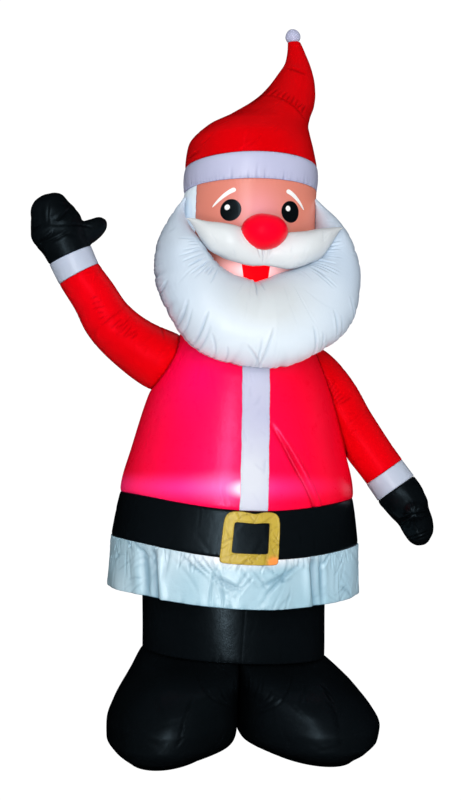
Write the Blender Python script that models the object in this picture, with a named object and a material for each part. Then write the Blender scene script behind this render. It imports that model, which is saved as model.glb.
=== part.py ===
"""An inflatable Santa that stands and waves, sewn from coloured panels of thin polyester.

Metres, +Z up. He faces -Y, his right hand is at -X, and the floor is at Z 0. The envelope is a
stack of sewn rings: boots, legs, belt, coat, head, hat band and hat. Each ring starts where the one
below it ends, with SEAM_GAP between them. Pillows (beard, moustache and nose) and thin patches
(face, eyes, placket and buckle) sit on the stack. The upper body is turned a little to his left.
"""

import math

import bmesh
import bpy
import numpy as np
from mathutils import Matrix

# Heights of the stacked panels, from the floor up
BOOT_HEIGHT = 0.262
LEG_LENGTH = 0.3495
BELT_HEIGHT = 0.1335
COAT_HEIGHT = 0.479
HEAD_HEIGHT = 0.406
BAND_HEIGHT = 0.072
HAT_HEIGHT = 0.391
POMPOM_RADIUS = 0.0225

# Half widths, from the middle of the figure to its side
LEG_HALF_WIDTH = 0.2742
BELLY_HALF_WIDTH = 0.372
NECK_HALF_WIDTH = 0.186
HEAD_HALF_WIDTH = 0.199
DEPTH_SHARE = 0.86
HEAD_DEPTH_SHARE = 0.94

# How the figure stands: a sideways lean for each metre of height, a roll of the seams below the
# chest, a dip of the belt at the front, and a turn of the upper body to his left
LEAN = 0.0417
BELT_SHIFT = 0.005
SEAM_ROLL = 0.055
BOOT_SWAY = 0.012
BELT_ROLL = 0.040
BELT_DIP = 0.046
BROW_BOW = 0.017
UPPER_TURN = math.radians(5)
HEAD_FORWARD = 0.02

# Cloth and seams
SEAM_GAP = 0.0004
SKIRT_WALL = 0.004
PATCH_WALL = 0.0015
PATCH_CLEARANCE = 0.0039

# Skirt trim
SKIRT_DROP = 0.1455
SKIRT_FLARE = 0.009
HEM_RISE = 0.008
HEM_WAVE = 0.003
HEM_WAVES = 9

# Placket and buckle
PLACKET_WIDTH = 0.080
PLACKET_SHIFT = 0.004
BUCKLE_WIDTH = 0.162
BUCKLE_HEIGHT = 0.147
BUCKLE_BORDER = 0.031
BUCKLE_LEAN = 0.06
BUCKLE_SHIFT = -0.013
BUCKLE_CORNER = 0.022

# Sleeves, cuffs and mittens
SLEEVE_END_RADIUS = 0.0655
CUFF_LENGTH = 0.060
MITTEN_LENGTH = 0.192

# Face, beard, moustache and nose
FACE_HALF_ANGLE = math.radians(63)
BEARD_CENTRE_DROP = 0.180
BEARD_RADIUS = 0.350
BEARD_PUFF = 0.125
BEARD_REACH = math.radians(131)
BEARD_TILT = math.radians(5)
MOUSTACHE_HALF_SPAN = 0.228
MOUSTACHE_ROLL = math.radians(2)
NOSE_HALF_WIDTH = 0.0665
NOSE_HALF_HEIGHT = 0.0525
NOSE_DROP = 0.146
LIP_DROP = 0.151
EYE_RADIUS = 0.0295
GLINT_RADIUS = 0.0075
EYE_ANGLE = math.radians(26)
EYE_DROP = 0.084

# Levels where one panel ends and the next begins
LEG_TOP = BOOT_HEIGHT + LEG_LENGTH
BELT_TOP = LEG_TOP + BELT_HEIGHT
NECK = BELT_TOP + COAT_HEIGHT
BROW = NECK + HEAD_HEIGHT
BAND_TOP = BROW + BAND_HEIGHT
HAT_TIP = BAND_TOP + HAT_HEIGHT

# Facets
AROUND = 40

RED = (0.62, 0.005, 0.012)
WHITE = (0.72, 0.74, 0.82)
BLACK = (0.006, 0.007, 0.010)
SKIN = (0.80, 0.36, 0.27)
NOSE_RED = (0.75, 0.004, 0.012)
GOLD = (0.60, 0.45, 0.06)

# Free outlines, as shares of the size that drives them. The torso's columns are height and half
# width; the hat's are height, sideways shift and half width, the last two as shares of its height.
TORSO_OUTLINE = ((0, 1), (0.11, 0.974), (0.218, 0.942), (0.352, 0.898), (0.513, 0.832), (0.66, 0.761),
                 (0.788, 0.682), (0.896, 0.597), (1, NECK_HALF_WIDTH / BELLY_HALF_WIDTH))
HAT_SHIFT = ((0, 0), (0.178, -0.004), (0.31, 0.036), (0.41, 0.134), (0.507, 0.231), (0.606, 0.294),
             (0.735, 0.342), (0.84, 0.362), (0.928, 0.352), (1, 0.337))
HAT_OUTLINE = ((0, 1), (0.178, 0.935), (0.31, 0.79), (0.41, 0.625), (0.507, 0.503), (0.606, 0.403),
               (0.735, 0.283), (0.84, 0.186), (0.928, 0.133), (1, 0.097))


def smooth(at, stations):
    """Values on a curve through the stations (place, value) that never overshoots them."""
    place, value = np.asarray(stations, float).T
    step = np.diff(place)
    slope = np.diff(value) / step
    tangent = np.zeros_like(value)
    tangent[0], tangent[-1] = slope[0], slope[-1]
    rising = slope[:-1] * slope[1:] > 0
    both = np.where(rising, slope[:-1] + slope[1:], 1.0)
    tangent[1:-1] = np.where(rising, 2 * slope[:-1] * slope[1:] / both, 0.0)
    i = np.clip(np.searchsorted(place, at) - 1, 0, len(step) - 1)
    t = (np.asarray(at, float) - place[i]) / step[i]
    rise = t * t * (3 - 2 * t)
    return (value[i] * (1 - rise) + value[i + 1] * rise
            + step[i] * t * (1 - t) * (tangent[i] * (1 - t) - tangent[i + 1] * t))


def turn(steps):
    """Equal angles once round, from the front towards his left."""
    return np.linspace(0, 2 * math.pi, steps, endpoint=False)


# Mesh building

def material(name, colour, roughness=0.45):
    """A plain cloth finish, made once for each colour."""
    found = bpy.data.materials.get(name)
    if found:
        return found
    made = bpy.data.materials.new(name)
    made.use_nodes = True
    shader = made.node_tree.nodes["Principled BSDF"]
    shader.inputs["Base Color"].default_value = (*colour, 1)
    shader.inputs["Roughness"].default_value = roughness
    shader.inputs["Metallic"].default_value = 0
    return made


def place(name, points, faces, finish, parent):
    """One named object from points and faces, with its faces turned outwards."""
    mesh = bpy.data.meshes.new(name)
    mesh.from_pydata([tuple(p) for p in points], [], faces)
    work = bmesh.new()
    work.from_mesh(mesh)
    bmesh.ops.recalc_face_normals(work, faces=work.faces)
    work.to_mesh(mesh)
    work.free()
    mesh.shade_smooth()
    mesh.set_sharp_from_angle(angle=math.radians(50))
    made = bpy.data.objects.new(name, mesh)
    bpy.context.scene.collection.objects.link(made)
    made.data.materials.append(finish)
    made.parent = parent
    return made


def grid_faces(rows, columns, close_rows=False):
    """Four-sided faces of a grid whose columns close on themselves, and its rows too if asked."""
    faces = []
    for r in range(rows if close_rows else rows - 1):
        for c in range(columns):
            ahead, up = (c + 1) % columns, (r + 1) % rows
            faces.append((r * columns + c, r * columns + ahead, up * columns + ahead, up * columns + c))
    return faces


def stack(name, rings, finish, parent, ends=None):
    """A closed body from a stack of rings. Its two ends are fans round the given end points."""
    rings = np.asarray(rings, float)
    rows, columns, _ = rings.shape
    low, high = ends if ends is not None else (rings[0].mean(0), rings[-1].mean(0))
    points = np.vstack([rings.reshape(-1, 3), low, high])
    faces = grid_faces(rows, columns)
    last = (rows - 1) * columns
    for c in range(columns):
        ahead = (c + 1) % columns
        faces.append((rows * columns, ahead, c))
        faces.append((rows * columns + 1, last + c, last + ahead))
    return place(name, points, faces, finish, parent)


def hoop(name, rings, finish, parent):
    """A closed band from rings that run round its section and back to the first."""
    rings = np.asarray(rings, float)
    faces = grid_faces(rings.shape[0], rings.shape[1], close_rows=True)
    return place(name, rings.reshape(-1, 3), faces, finish, parent)


def patch(name, surface, outline, finish, parent, lift, wall, rows=4):
    """A thin disc of cloth on a surface, from an outline in the surface's own two coordinates."""
    outline = np.asarray(outline, float)
    middle = outline.mean(0)
    shares = np.linspace(1, 0, rows, endpoint=False)
    flat = [middle + share * (outline - middle) for share in shares]
    bottom = [surface(*ring.T, lift) for ring in reversed(flat)]
    top = [surface(*ring.T, lift + wall) for ring in flat]
    ends = [surface(*middle[:, None], grow)[0] for grow in (lift, lift + wall)]
    return stack(name, bottom + top, finish, parent, ends)


def strip(name, surface, across, along, finish, parent, lift, wall):
    """A thin ribbon on a surface: across(row) gives one row's points across it, in its coordinates."""
    rows = []
    for place_along in along:
        flat = np.asarray(across(place_along), float)
        low, high = surface(*flat.T, lift), surface(*flat.T, lift + wall)
        rows.append(np.vstack([low, high[::-1]]))
    return stack(name, rows, finish, parent)


def cut(target, cutter):
    """Takes a grown copy of a neighbour out of a piece, so that the two meet face to face."""
    cutter.hide_render = True
    cutter.display_type = "WIRE"
    step = target.modifiers.new("fit_" + cutter.name, "BOOLEAN")
    step.operation, step.solver, step.object = "DIFFERENCE", "EXACT", cutter


def joined(target, other):
    """Sews another lobe to a piece, which makes the two one body."""
    other.hide_render = True
    other.display_type = "WIRE"
    step = target.modifiers.new("lobe_" + other.name, "BOOLEAN")
    step.operation, step.solver, step.object = "UNION", "EXACT", other


# Surfaces of the body. An angle is 0 at the front and grows towards his left.

def sway(level):
    """How far the middle of the upper body has leaned sideways at a level."""
    return BELT_SHIFT + LEAN * (level - LEG_TOP)


def torso_half_width(level):
    """Half width of belt and coat at a level. Below the belt it runs on as the skirt."""
    share = (np.asarray(level, float) - LEG_TOP) / (NECK - LEG_TOP)
    inside = BELLY_HALF_WIDTH * smooth(np.clip(share, 0, 1), TORSO_OUTLINE)
    return inside + SKIRT_FLARE * np.clip((LEG_TOP - level) / SKIRT_DROP, 0, 1)


def torso(angle, level, grow=0.0, spread=1.0):
    """Points of the belt and coat, grown outwards, and pulled to the middle where spread is under 1."""
    angle, level = np.broadcast_arrays(np.asarray(angle, float), np.asarray(level, float))
    half = torso_half_width(level) + grow
    across = spread * half * np.sin(angle)
    depth = -spread * (half * DEPTH_SHARE + grow * (1 - DEPTH_SHARE)) * np.cos(angle)
    roll = BELT_ROLL * np.clip((NECK - level) / (NECK - LEG_TOP), 0, 1)
    dip = BELT_DIP * np.clip((NECK - level) / (NECK - BELT_TOP), 0, 1)
    facing = np.maximum(np.cos(angle), 0) ** 3
    behind = np.maximum(-np.cos(angle), 0) ** 2
    height = level - roll * across - dip * spread * (0.75 * facing + 0.25 * (1 - behind))
    return np.stack([sway(level) + across, depth, height], axis=-1)


def torso_middle(level):
    """The point in the middle of the torso's ring at a level."""
    return torso(0.0, level, spread=0.0)


def head_half_width(level):
    """Half width of the head, from the neck to the top of the hat band."""
    share = (np.asarray(level, float) - NECK) / (BROW - NECK)
    return smooth(share, ((0, NECK_HALF_WIDTH), (0.26, HEAD_HALF_WIDTH * 0.98), (0.7, HEAD_HALF_WIDTH),
                          (1, HEAD_HALF_WIDTH), (1.4, HEAD_HALF_WIDTH)))


def head(angle, level, grow=0.0):
    """Points of the head and the hat band, grown outwards."""
    angle, level = np.broadcast_arrays(np.asarray(angle, float), np.asarray(level, float))
    half = head_half_width(level)
    rise = smooth((level - NECK) / (BROW - NECK), ((0, 0), (0.26, 0.94), (0.5, 1), (1.4, 1)))
    depth_share = DEPTH_SHARE + (HEAD_DEPTH_SHARE - DEPTH_SHARE) * rise
    across = (half + grow) * np.sin(angle)
    depth = -HEAD_FORWARD * rise - (half * depth_share + grow) * np.cos(angle)
    bow = BROW_BOW * ((level - NECK) / (BROW - NECK)) ** 2 * ((1 + np.cos(angle)) / 2) ** 2
    return np.stack([sway(level) + across, depth, level + bow], axis=-1)


def head_levels(gap=0.0):
    """The levels of the head's rings, closer together near the neck."""
    return NECK + gap + (HEAD_HEIGHT - 1.5 * gap) * np.array([0, 0.13, 0.26, 0.5, 0.75, 1])


def head_middle(level):
    """The point in the middle of the head's ring at a level."""
    front, back = head(0.0, level), head(math.pi, level)
    return (front + back) / 2


# Boots and legs

def boot_ring(side, share, steps):
    """One level of a boot: the legs' half ring at the top, and lower down a foot whose toe turns
    out. The outline is an ellipse cut off where the two boots meet, with its corners rounded."""
    ring_depth = LEG_HALF_WIDTH * DEPTH_SHARE
    inner = smooth(share, ((0, 0.075), (0.1, 0.035), (0.22, 0), (0.36, -0.035), (0.55, -0.05),
                           (0.7, -0.08), (0.85, -0.15), (1, -LEG_HALF_WIDTH)))
    outer = smooth(share, ((0, 0.308), (0.1, 0.350), (0.22, 0.377), (0.36, 0.382), (0.55, 0.364),
                           (0.7, 0.340), (0.85, 0.308), (1, LEG_HALF_WIDTH)))
    toe = smooth(share, ((0, 0.38), (0.1, 0.43), (0.22, 0.452), (0.36, 0.452), (0.55, 0.43),
                         (0.7, 0.395), (0.85, 0.33), (1, ring_depth)))
    heel = smooth(share, ((0, 0.17), (0.1, 0.21), (0.22, 0.235), (0.5, 0.25), (1, ring_depth)))
    toe_out = math.radians(13) * smooth(share, ((0, 1), (0.36, 1), (0.7, 0.75), (1, 0)))
    middle = np.array([(inner + outer) / 2, (heel - toe) / 2])
    half = np.array([(outer - inner) / 2, (heel + toe) / 2])
    start = np.array([0.6 * LEG_HALF_WIDTH, -0.03])
    angle = turn(steps)
    run = np.stack([np.cos(angle), np.sin(angle)])
    turned = np.array([[math.cos(toe_out), math.sin(toe_out)], [-math.sin(toe_out), math.cos(toe_out)]])
    heading = turned @ run / half[:, None]
    offset = turned @ (start - middle) / half
    a, b, c = (heading ** 2).sum(0), offset @ heading, offset @ offset - 1
    to_ellipse = (-b + np.sqrt(b * b - a * c)) / a
    to_middle = (start[0] - SEAM_GAP) / np.maximum(-run[0], 1e-3)
    corner = 8.0
    reach = (to_ellipse ** -corner + to_middle ** -corner) ** (-1 / corner)
    x, y = start[:, None] + reach * run
    x = side * x + BOOT_SWAY * math.sin(math.pi * share) * np.clip(x / LEG_HALF_WIDTH, 0, 1)
    z = share * (BOOT_HEIGHT - SEAM_ROLL * x)
    return np.stack([x, y, z], axis=-1)


def boot(name, side, parent):
    """A boot with a flat sole, standing on the floor beside its pair."""
    shares = (0, 0.03, 0.1, 0.2, 0.35, 0.5, 0.64, 0.76, 0.86, 0.94, 1)
    rings = [boot_ring(side, share, 28) for share in shares]
    return stack(name, rings, material("black", BLACK), parent)


def legs(parent):
    """The one tube for both legs, from the boots up to the belt, whose turn it follows at the top."""
    angle = turn(AROUND)
    x, y = LEG_HALF_WIDTH * np.sin(angle), -LEG_HALF_WIDTH * DEPTH_SHARE * np.cos(angle)
    foot = np.stack([x, y, BOOT_HEIGHT + SEAM_GAP - SEAM_ROLL * x], axis=-1)
    top = torso(angle, LEG_TOP, spread=LEG_HALF_WIDTH / BELLY_HALF_WIDTH)
    turned = np.array(Matrix.Rotation(UPPER_TURN, 3, "Z"))
    top, middle = top @ turned.T, turned @ torso_middle(LEG_TOP)
    ends = ((0, 0, BOOT_HEIGHT + SEAM_GAP), middle - (0, 0, SEAM_GAP))
    return stack("legs", [foot, top - (0, 0, SEAM_GAP)], material("black", BLACK), parent, ends)


# Skirt trim, belt and coat

def skirt_trim(parent):
    """The white trim, one layer of cloth that hangs free below the belt."""
    angle = turn(AROUND + 5)
    outside, inside = [], []
    for share in np.linspace(0, 1, 3):
        level = LEG_TOP - SEAM_GAP - share * SKIRT_DROP
        level = level + share * HEM_RISE * np.maximum(np.cos(angle), 0) ** 3
        wave = HEM_WAVE * share * np.sin(HEM_WAVES * angle)
        outside.append(torso(angle, level, grow=wave))
        inside.append(torso(angle, level, grow=wave - SKIRT_WALL))
    return hoop("skirt_trim", outside + inside[::-1], material("white", WHITE), parent)


def coat_levels(gap=0.0):
    """The levels of the coat's rings, from the belt to the neck."""
    return BELT_TOP + gap + (COAT_HEIGHT - gap) * np.linspace(0, 1, 8)


def torso_panel(name, levels, finish, parent, grow=0.0):
    """A filled stretch of the torso through its levels, grown outwards."""
    rings = [torso(turn(AROUND), level, grow=grow) for level in levels]
    return stack(name, rings, finish, parent, (torso_middle(levels[0]), torso_middle(levels[-1])))


def placket(parent):
    """The white strip down the front of the coat, from the beard to the belt."""
    levels = coat_levels(SEAM_GAP)[:7]
    low, high = levels[0], levels[-1]

    def across(level):
        half = float(torso_half_width(level))
        middle = (PLACKET_SHIFT + (BUCKLE_SHIFT / 2 - PLACKET_SHIFT) * (high - level) / (high - low)) / half
        reach = PLACKET_WIDTH / 2 / half
        return [(middle + a, level) for a in np.linspace(-reach, reach, 4)]

    return strip("placket", torso, across, levels, material("white", WHITE), parent,
                 SEAM_GAP * 3, PATCH_WALL)


def buckle(parent):
    """The gold frame on the belt: a rounded square with a square window, bent to the belly."""
    middle = (LEG_TOP + BELT_TOP) / 2 - 0.008
    half = float(torso_half_width(middle))
    steps = 5
    corners = ((1, 1), (-1, 1), (-1, -1), (1, -1))

    def loop(half_width, half_height, round_off):
        """A rounded rectangle, with as many points on each side and each corner."""
        points = []
        for n, (sx, sz) in enumerate(corners):
            at = np.array([sx * (half_width - round_off), sz * (half_height - round_off)])
            for t in np.linspace(0, 1, 4):
                bend = math.pi / 2 * (n + t)
                points.append(at + round_off * np.array([math.cos(bend), math.sin(bend)]))
            onward = corners[(n + 1) % 4]
            end = np.array([onward[0] * (half_width - round_off), onward[1] * (half_height - round_off)])
            bend = math.pi / 2 * (n + 1)
            rim = round_off * np.array([math.cos(bend), math.sin(bend)])
            for t in np.linspace(0, 1, steps + 1)[1:-1]:
                points.append((1 - t) * (at + rim) + t * (end + rim))
        return np.array(points)

    outer = loop(BUCKLE_WIDTH / 2, BUCKLE_HEIGHT / 2, BUCKLE_CORNER)
    inner = loop(BUCKLE_WIDTH / 2 - BUCKLE_BORDER, BUCKLE_HEIGHT / 2 - BUCKLE_BORDER, 0.004)
    rings = []
    for grow, loops in ((SEAM_GAP * 3, (outer, inner)), (SEAM_GAP * 3 + PATCH_WALL, (inner, outer))):
        for flat in loops:
            across = BUCKLE_SHIFT + flat[:, 0] + BUCKLE_LEAN * flat[:, 1]
            rings.append(torso(across / half, middle + flat[:, 1], grow=grow))
    return hoop("buckle", rings, material("gold", GOLD), parent)


# Arms

class Arm:
    """A sleeve's path from inside the coat, through points (x, y, z, radius), to the cuff's end."""

    def __init__(self, points):
        points = np.asarray(points, float)
        steps = np.linalg.norm(np.diff(points[:, :3], axis=0), axis=1)
        run = np.concatenate([[0], np.cumsum(steps)])
        self.columns = [np.stack([run, column], axis=-1) for column in points.T]
        self.wrist = run[-1]
        self.length = self.wrist - CUFF_LENGTH

    def at(self, run):
        """Middle and radius at a distance along the arm, and its directions: along the arm, across
        it towards the head or the belly, and through it towards the back."""
        inside = min(max(run, 0), self.wrist)
        x, y, z, radius = (float(smooth(inside, column)) for column in self.columns)
        low, high = max(inside - 0.004, 0), min(inside + 0.004, self.wrist)
        along = np.array([float(smooth(high, c) - smooth(low, c)) for c in self.columns[:3]])
        along /= np.linalg.norm(along)
        through = np.array([0, 1, 0]) - along[1] * along
        through /= np.linalg.norm(through)
        return np.array([x, y, z]) + (run - inside) * along, radius, (along, np.cross(through, along), through)

    def section(self, run, half_across, half_through, steps, shift=0.0):
        """One oval section at a distance along the arm, shifted across it."""
        middle, _, (_, across, through) = self.at(run)
        angle = turn(steps)[:, None]
        return (middle + shift * across + half_across * np.cos(angle) * across
                + half_through * np.sin(angle) * through)

    def ring(self, run, steps, grow=0.0):
        """One round section of the sleeve or cuff."""
        radius = self.at(run)[1] + grow
        return self.section(run, radius, radius, steps)


def sleeve(name, arm, parent, rows=10, steps=20):
    """A red sleeve whose root is inside the coat until the coat's cutter trims it."""
    rings = [arm.ring(run, steps) for run in np.linspace(0, arm.length, rows)]
    return stack(name, rings, material("red", RED), parent)


def cuff(name, arm, parent, steps=20):
    """A white cuff between sleeve and mitten, a little fuller than the sleeve."""
    rings = []
    for share in np.linspace(0, 1, 3):
        run = arm.length + SEAM_GAP + share * (CUFF_LENGTH - SEAM_GAP)
        rings.append(arm.ring(run, steps, grow=0.0015 * math.sin(math.pi * share)))
    return stack(name, rings, material("white", WHITE), parent)


def lobes(name, arm, sections, parent, steps=18, rows=10):
    """A lobe of a mitten from its sections: run, sideways shift, half width, half depth."""
    sections = np.asarray(sections, float)
    runs = np.linspace(0, 1, rows)
    runs = sections[-1, 0] * np.sin(runs * math.pi / 2)
    rings = []
    for run in runs:
        shift, wide, deep = (float(smooth(run, sections[:, (0, k)])) for k in (1, 2, 3))
        rings.append(arm.section(arm.wrist + SEAM_GAP + run, wide, deep, steps, shift))
    return stack(name, rings, material("black", BLACK), parent)


def thumb(name, arm, points, parent, steps=12):
    """A mitten's thumb: round sections along points (run, sideways shift, depth shift, radius)."""
    points = np.asarray(points, float)
    share = np.linspace(0, 1, len(points))
    columns = [np.stack([share, column], axis=-1) for column in points.T]
    angle = turn(steps)[:, None]
    rings = []
    for t in 1 - (1 - np.linspace(0, 1, 7)) ** 1.5:
        run, shift, depth, radius = (float(smooth(t, column)) for column in columns)
        near, far = max(t - 0.02, 0), min(t + 0.02, 1)
        middle, _, axes = arm.at(arm.wrist + run)
        heading = np.array([float(smooth(far, c) - smooth(near, c)) for c in columns[:3]]) @ np.array(axes)
        heading /= np.linalg.norm(heading)
        first = np.cross(heading, axes[0])
        first /= np.linalg.norm(first)
        second = np.cross(heading, first)
        centre = middle + shift * axes[1] + depth * axes[2]
        rings.append(centre + radius * (np.cos(angle) * first + np.sin(angle) * second))
    return stack(name, rings, material("black", BLACK), parent)


# Beard, moustache and nose

def beard_surface(bend, around, grow=0.0):
    """The beard: a pillow round the mouth. bend runs from his right temple under the chin to his
    left temple, 0 at the chin; around runs round its section, 0 at the outer seam."""
    turned = np.abs(bend)
    down = BROW - BEARD_CENTRE_DROP
    inner = smooth(turned, ((0, 0.098), (0.8, 0.106), (1.15, 0.127), (1.41, 0.155), (1.66, 0.172),
                            (1.95, 0.192), (2.3, 0.244)))
    outer = BEARD_RADIUS * smooth(turned, ((0, 1), (0.45, 1.008), (0.85, 0.968), (1.22, 0.902), (1.57, 0.839),
                                           (1.9, 0.764), (2.1, 0.727), (2.3, 0.705)))
    outer = outer + 0.0035 * np.cos(15 * bend) * np.clip(1.7 - turned, 0, 1)
    puff = BEARD_PUFF * smooth(turned, ((0, 1), (1, 0.98), (1.6, 0.9), (2, 0.6), (2.3, 0.2)))
    hollow = BEARD_PUFF * smooth(turned, ((0, 0.6), (1.6, 0.72), (2, 0.5), (2.3, 0.16)))
    inner_y = -smooth(turned, ((0, 0.205), (0.9, 0.175), (1.5, 0.118), (2.3, 0.07)))
    outer_y = -smooth(turned, ((0, 0.226), (0.9, 0.18), (1.5, 0.10), (2.3, 0.05)))
    middle, half = (inner + outer) / 2, (outer - inner) / 2 + grow
    out, swell = np.cos(around), np.sin(around)
    depth = np.where(swell > 0, puff, hollow) + grow
    radius = middle + half * np.sign(out) * np.abs(out) ** 0.85
    heading = bend + BEARD_TILT * np.cos(bend / 2)
    x = sway(down) + radius * np.sin(heading)
    y = -HEAD_FORWARD + inner_y + (outer_y - inner_y) * (1 + out) / 2 - depth * swell
    z = down - radius * np.cos(heading)
    return np.stack(np.broadcast_arrays(x, y, z), axis=-1)


def beard(name, parent, grow=0.0, rows=33, steps=14):
    """The beard as one pillow with its two ends at the temples."""
    around = turn(steps)
    rings = [beard_surface(bend, around, grow) for bend in np.linspace(-BEARD_REACH, BEARD_REACH, rows)]
    return stack(name, rings, material("white", WHITE), parent)


def moustache(name, parent, grow=0.0, rows=23, steps=12):
    """Two swelling lobes in one pillow, pinched under the nose, with their tips raised."""
    around = turn(steps)
    tip = 1 - 1e-3
    share = np.sin(np.linspace(-1, 1, rows) * math.pi / 2) * tip
    rings = []
    for s in share:
        a = abs(s)
        lift = float(smooth(a, ((0, -0.052), (0.25, -0.043), (0.5, -0.031), (0.7, -0.0135), (0.85, 0.007),
                                (1, 0.031))))
        tall = float(smooth(a, ((0, 0.032), (0.25, 0.050), (0.5, 0.051), (0.7, 0.0415), (0.85, 0.024),
                                (1, 0.0015)))) + grow
        deep = float(smooth(a, ((0, 0.030), (0.25, 0.048), (0.5, 0.051), (0.75, 0.038), (1, 0.0015)))) + grow
        out_y = -0.238 - 0.008 * a
        x = s * MOUSTACHE_HALF_SPAN
        z = BROW - LIP_DROP + lift - x * math.tan(MOUSTACHE_ROLL)
        y = -HEAD_FORWARD + out_y
        rings.append(np.stack([np.full(steps, face_middle() + x), y + deep * np.sin(around),
                               z + tall * np.cos(around)], axis=-1))
    return stack(name, rings, material("white", WHITE), parent)


def face_middle():
    """Where the middle of the face is across the figure."""
    return float(sway(BROW - NOSE_DROP))


def nose(parent, rows=9, steps=18):
    """The round red nose, a sewn ball a little wider than tall."""
    deep = 0.062
    middle = np.array([face_middle(), -HEAD_FORWARD - HEAD_HALF_WIDTH * HEAD_DEPTH_SHARE - 0.048,
                       BROW - NOSE_DROP])
    around = turn(steps)
    rings = []
    for tilt in np.linspace(0.06, math.pi - 0.06, rows):
        ring = np.stack([NOSE_HALF_WIDTH * math.sin(tilt) * np.cos(around),
                         np.full(steps, -deep * math.cos(tilt)),
                         NOSE_HALF_HEIGHT * math.sin(tilt) * np.sin(around)], axis=-1)
        rings.append(middle + ring)
    return stack("nose", rings, material("nose_red", NOSE_RED), parent)


# Face patches, on the head's surface

def face(parent):
    """The skin-coloured panel across the front of the head."""
    facets = round(2 * FACE_HALF_ANGLE / (2 * math.pi / AROUND))
    angles = np.linspace(-FACE_HALF_ANGLE, FACE_HALF_ANGLE, facets + 1)
    return strip("face", head, lambda level: [(a, level) for a in angles],
                 head_levels(SEAM_GAP)[2:],
                 material("skin", SKIN), parent, SEAM_GAP, PATCH_WALL)


def on_face(angle, level, grow):
    """Points of the face panel's own outer side."""
    return head(angle, level, grow + SEAM_GAP + PATCH_WALL)


def mouth(parent):
    """The red lower lip between moustache and beard, a tapering patch."""
    top, bottom = BROW - NOSE_DROP - 0.075, BROW - NOSE_DROP - 0.148

    def across(level):
        reach = (0.043 - 0.010 * (top - level) / (top - bottom)) / HEAD_HALF_WIDTH
        middle = (face_middle() - 0.012 - sway(level)) / HEAD_HALF_WIDTH
        return [(middle + a, level) for a in np.linspace(-reach, reach, 5)]

    return strip("mouth", on_face, across, np.linspace(bottom, top, 4),
                 material("nose_red", NOSE_RED), parent, SEAM_GAP, PATCH_WALL / 3)


def disc(angle, level, radius_x, radius_z, steps=18):
    """A round outline on the head, from its middle and half sizes."""
    around = turn(steps)
    return np.stack([angle + radius_x * np.cos(around) / HEAD_HALF_WIDTH,
                     level + radius_z * np.sin(around)], axis=-1)


def eyes(parent):
    """On each side a black eye patch, its white glint, and the white brow above."""
    level = BROW - EYE_DROP
    black, white = material("black", BLACK), material("white", WHITE)
    thin = PATCH_WALL / 3
    for name, side in (("right", -1), ("left", 1)):
        angle = side * EYE_ANGLE + 0.01
        patch(name + "_eye", on_face, disc(angle, level, EYE_RADIUS, EYE_RADIUS * 0.98),
              black, parent, SEAM_GAP, thin, rows=2)
        glint = disc(angle - 0.05, level + 0.008, GLINT_RADIUS, GLINT_RADIUS, 10)
        patch(name + "_eye_glint", on_face, glint, white, parent, 2 * SEAM_GAP + thin, thin, rows=1)

        def across(share, side=side):
            """The brow is an arc, thick and round at its inner end and pointed at its outer end."""
            arc = (0.375 + 0.36 * share) * side
            height = BROW - 0.029 - 0.043 * share ** 1.5
            half = 0.0062 * math.sqrt(max(0.0, 1 - (1 - min(share / 0.12, 1)) ** 2)) * (1 - share) ** 0.5
            half = max(half, 0.0006)
            lean_x, lean_z = 0.35 + 0.55 * share, 1.0
            return [(arc + side * t * half * lean_x / HEAD_HALF_WIDTH, height + t * half * lean_z)
                    for t in (-1, 0, 1)]

        strip(name + "_brow", on_face, across, np.linspace(0.02, 0.985, 9), white, parent,
              SEAM_GAP, thin)


# Hat

def hat_ring(share, steps, grow=0.0):
    """One level of the hat, whose top leans to his left."""
    angle = turn(steps)
    half = HEAD_HALF_WIDTH * smooth(share, HAT_OUTLINE) + grow
    shift = HAT_HEIGHT * smooth(share, HAT_SHIFT)
    deep = half * (HEAD_DEPTH_SHARE + (1 - HEAD_DEPTH_SHARE) * share)
    bow = (head(angle, BAND_TOP)[:, 2] - BAND_TOP) * max(0.0, 1 - 2 * share)
    level = BAND_TOP + SEAM_GAP + share * (HAT_HEIGHT - SEAM_GAP) + bow
    return np.stack([sway(BAND_TOP) + shift + half * np.sin(angle),
                     -HEAD_FORWARD - deep * np.cos(angle), level], axis=-1)


def hat(parent):
    """The red cone of the hat, from the band to the pompom."""
    shares = (0, 0.1, 0.19, 0.28, 0.36, 0.44, 0.52, 0.61, 0.71, 0.81, 0.9, 1)
    rings = [hat_ring(share, 24) for share in shares]
    ends = (head_middle(BAND_TOP) + (0, 0, SEAM_GAP), rings[-1].mean(0))
    return stack("hat", rings, material("red", RED), parent, ends)


def hat_band(parent):
    """The white band round the brow."""
    low, high = BROW + SEAM_GAP, BAND_TOP - SEAM_GAP
    rings = [head(turn(AROUND), low + share * (high - low), grow=0.0025 * math.sin(math.pi * share))
             for share in np.linspace(0, 1, 4)]
    return stack("hat_band", rings, material("white", WHITE), parent, (head_middle(low), head_middle(high)))


def pompom(parent, rows=7, steps=14):
    """The small round pompom, sewn on the hat's tip."""
    tip = hat_ring(1.0, steps).mean(0)
    middle = tip + np.array([-0.004, 0, POMPOM_RADIUS * 0.78])
    around = turn(steps)
    rings = []
    for tilt in np.linspace(math.radians(38), math.pi - 0.12, rows):
        radius, height = POMPOM_RADIUS * math.sin(tilt), -POMPOM_RADIUS * math.cos(tilt)
        rings.append(middle + np.stack([radius * np.cos(around), radius * np.sin(around),
                                        np.full(steps, height)], axis=-1))
    lift = HAT_TIP + SEAM_GAP - rings[0][0, 2]
    rings = [ring + np.array([0, 0, lift]) for ring in rings]
    return stack("pompom", rings, material("white", WHITE), parent)


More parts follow.
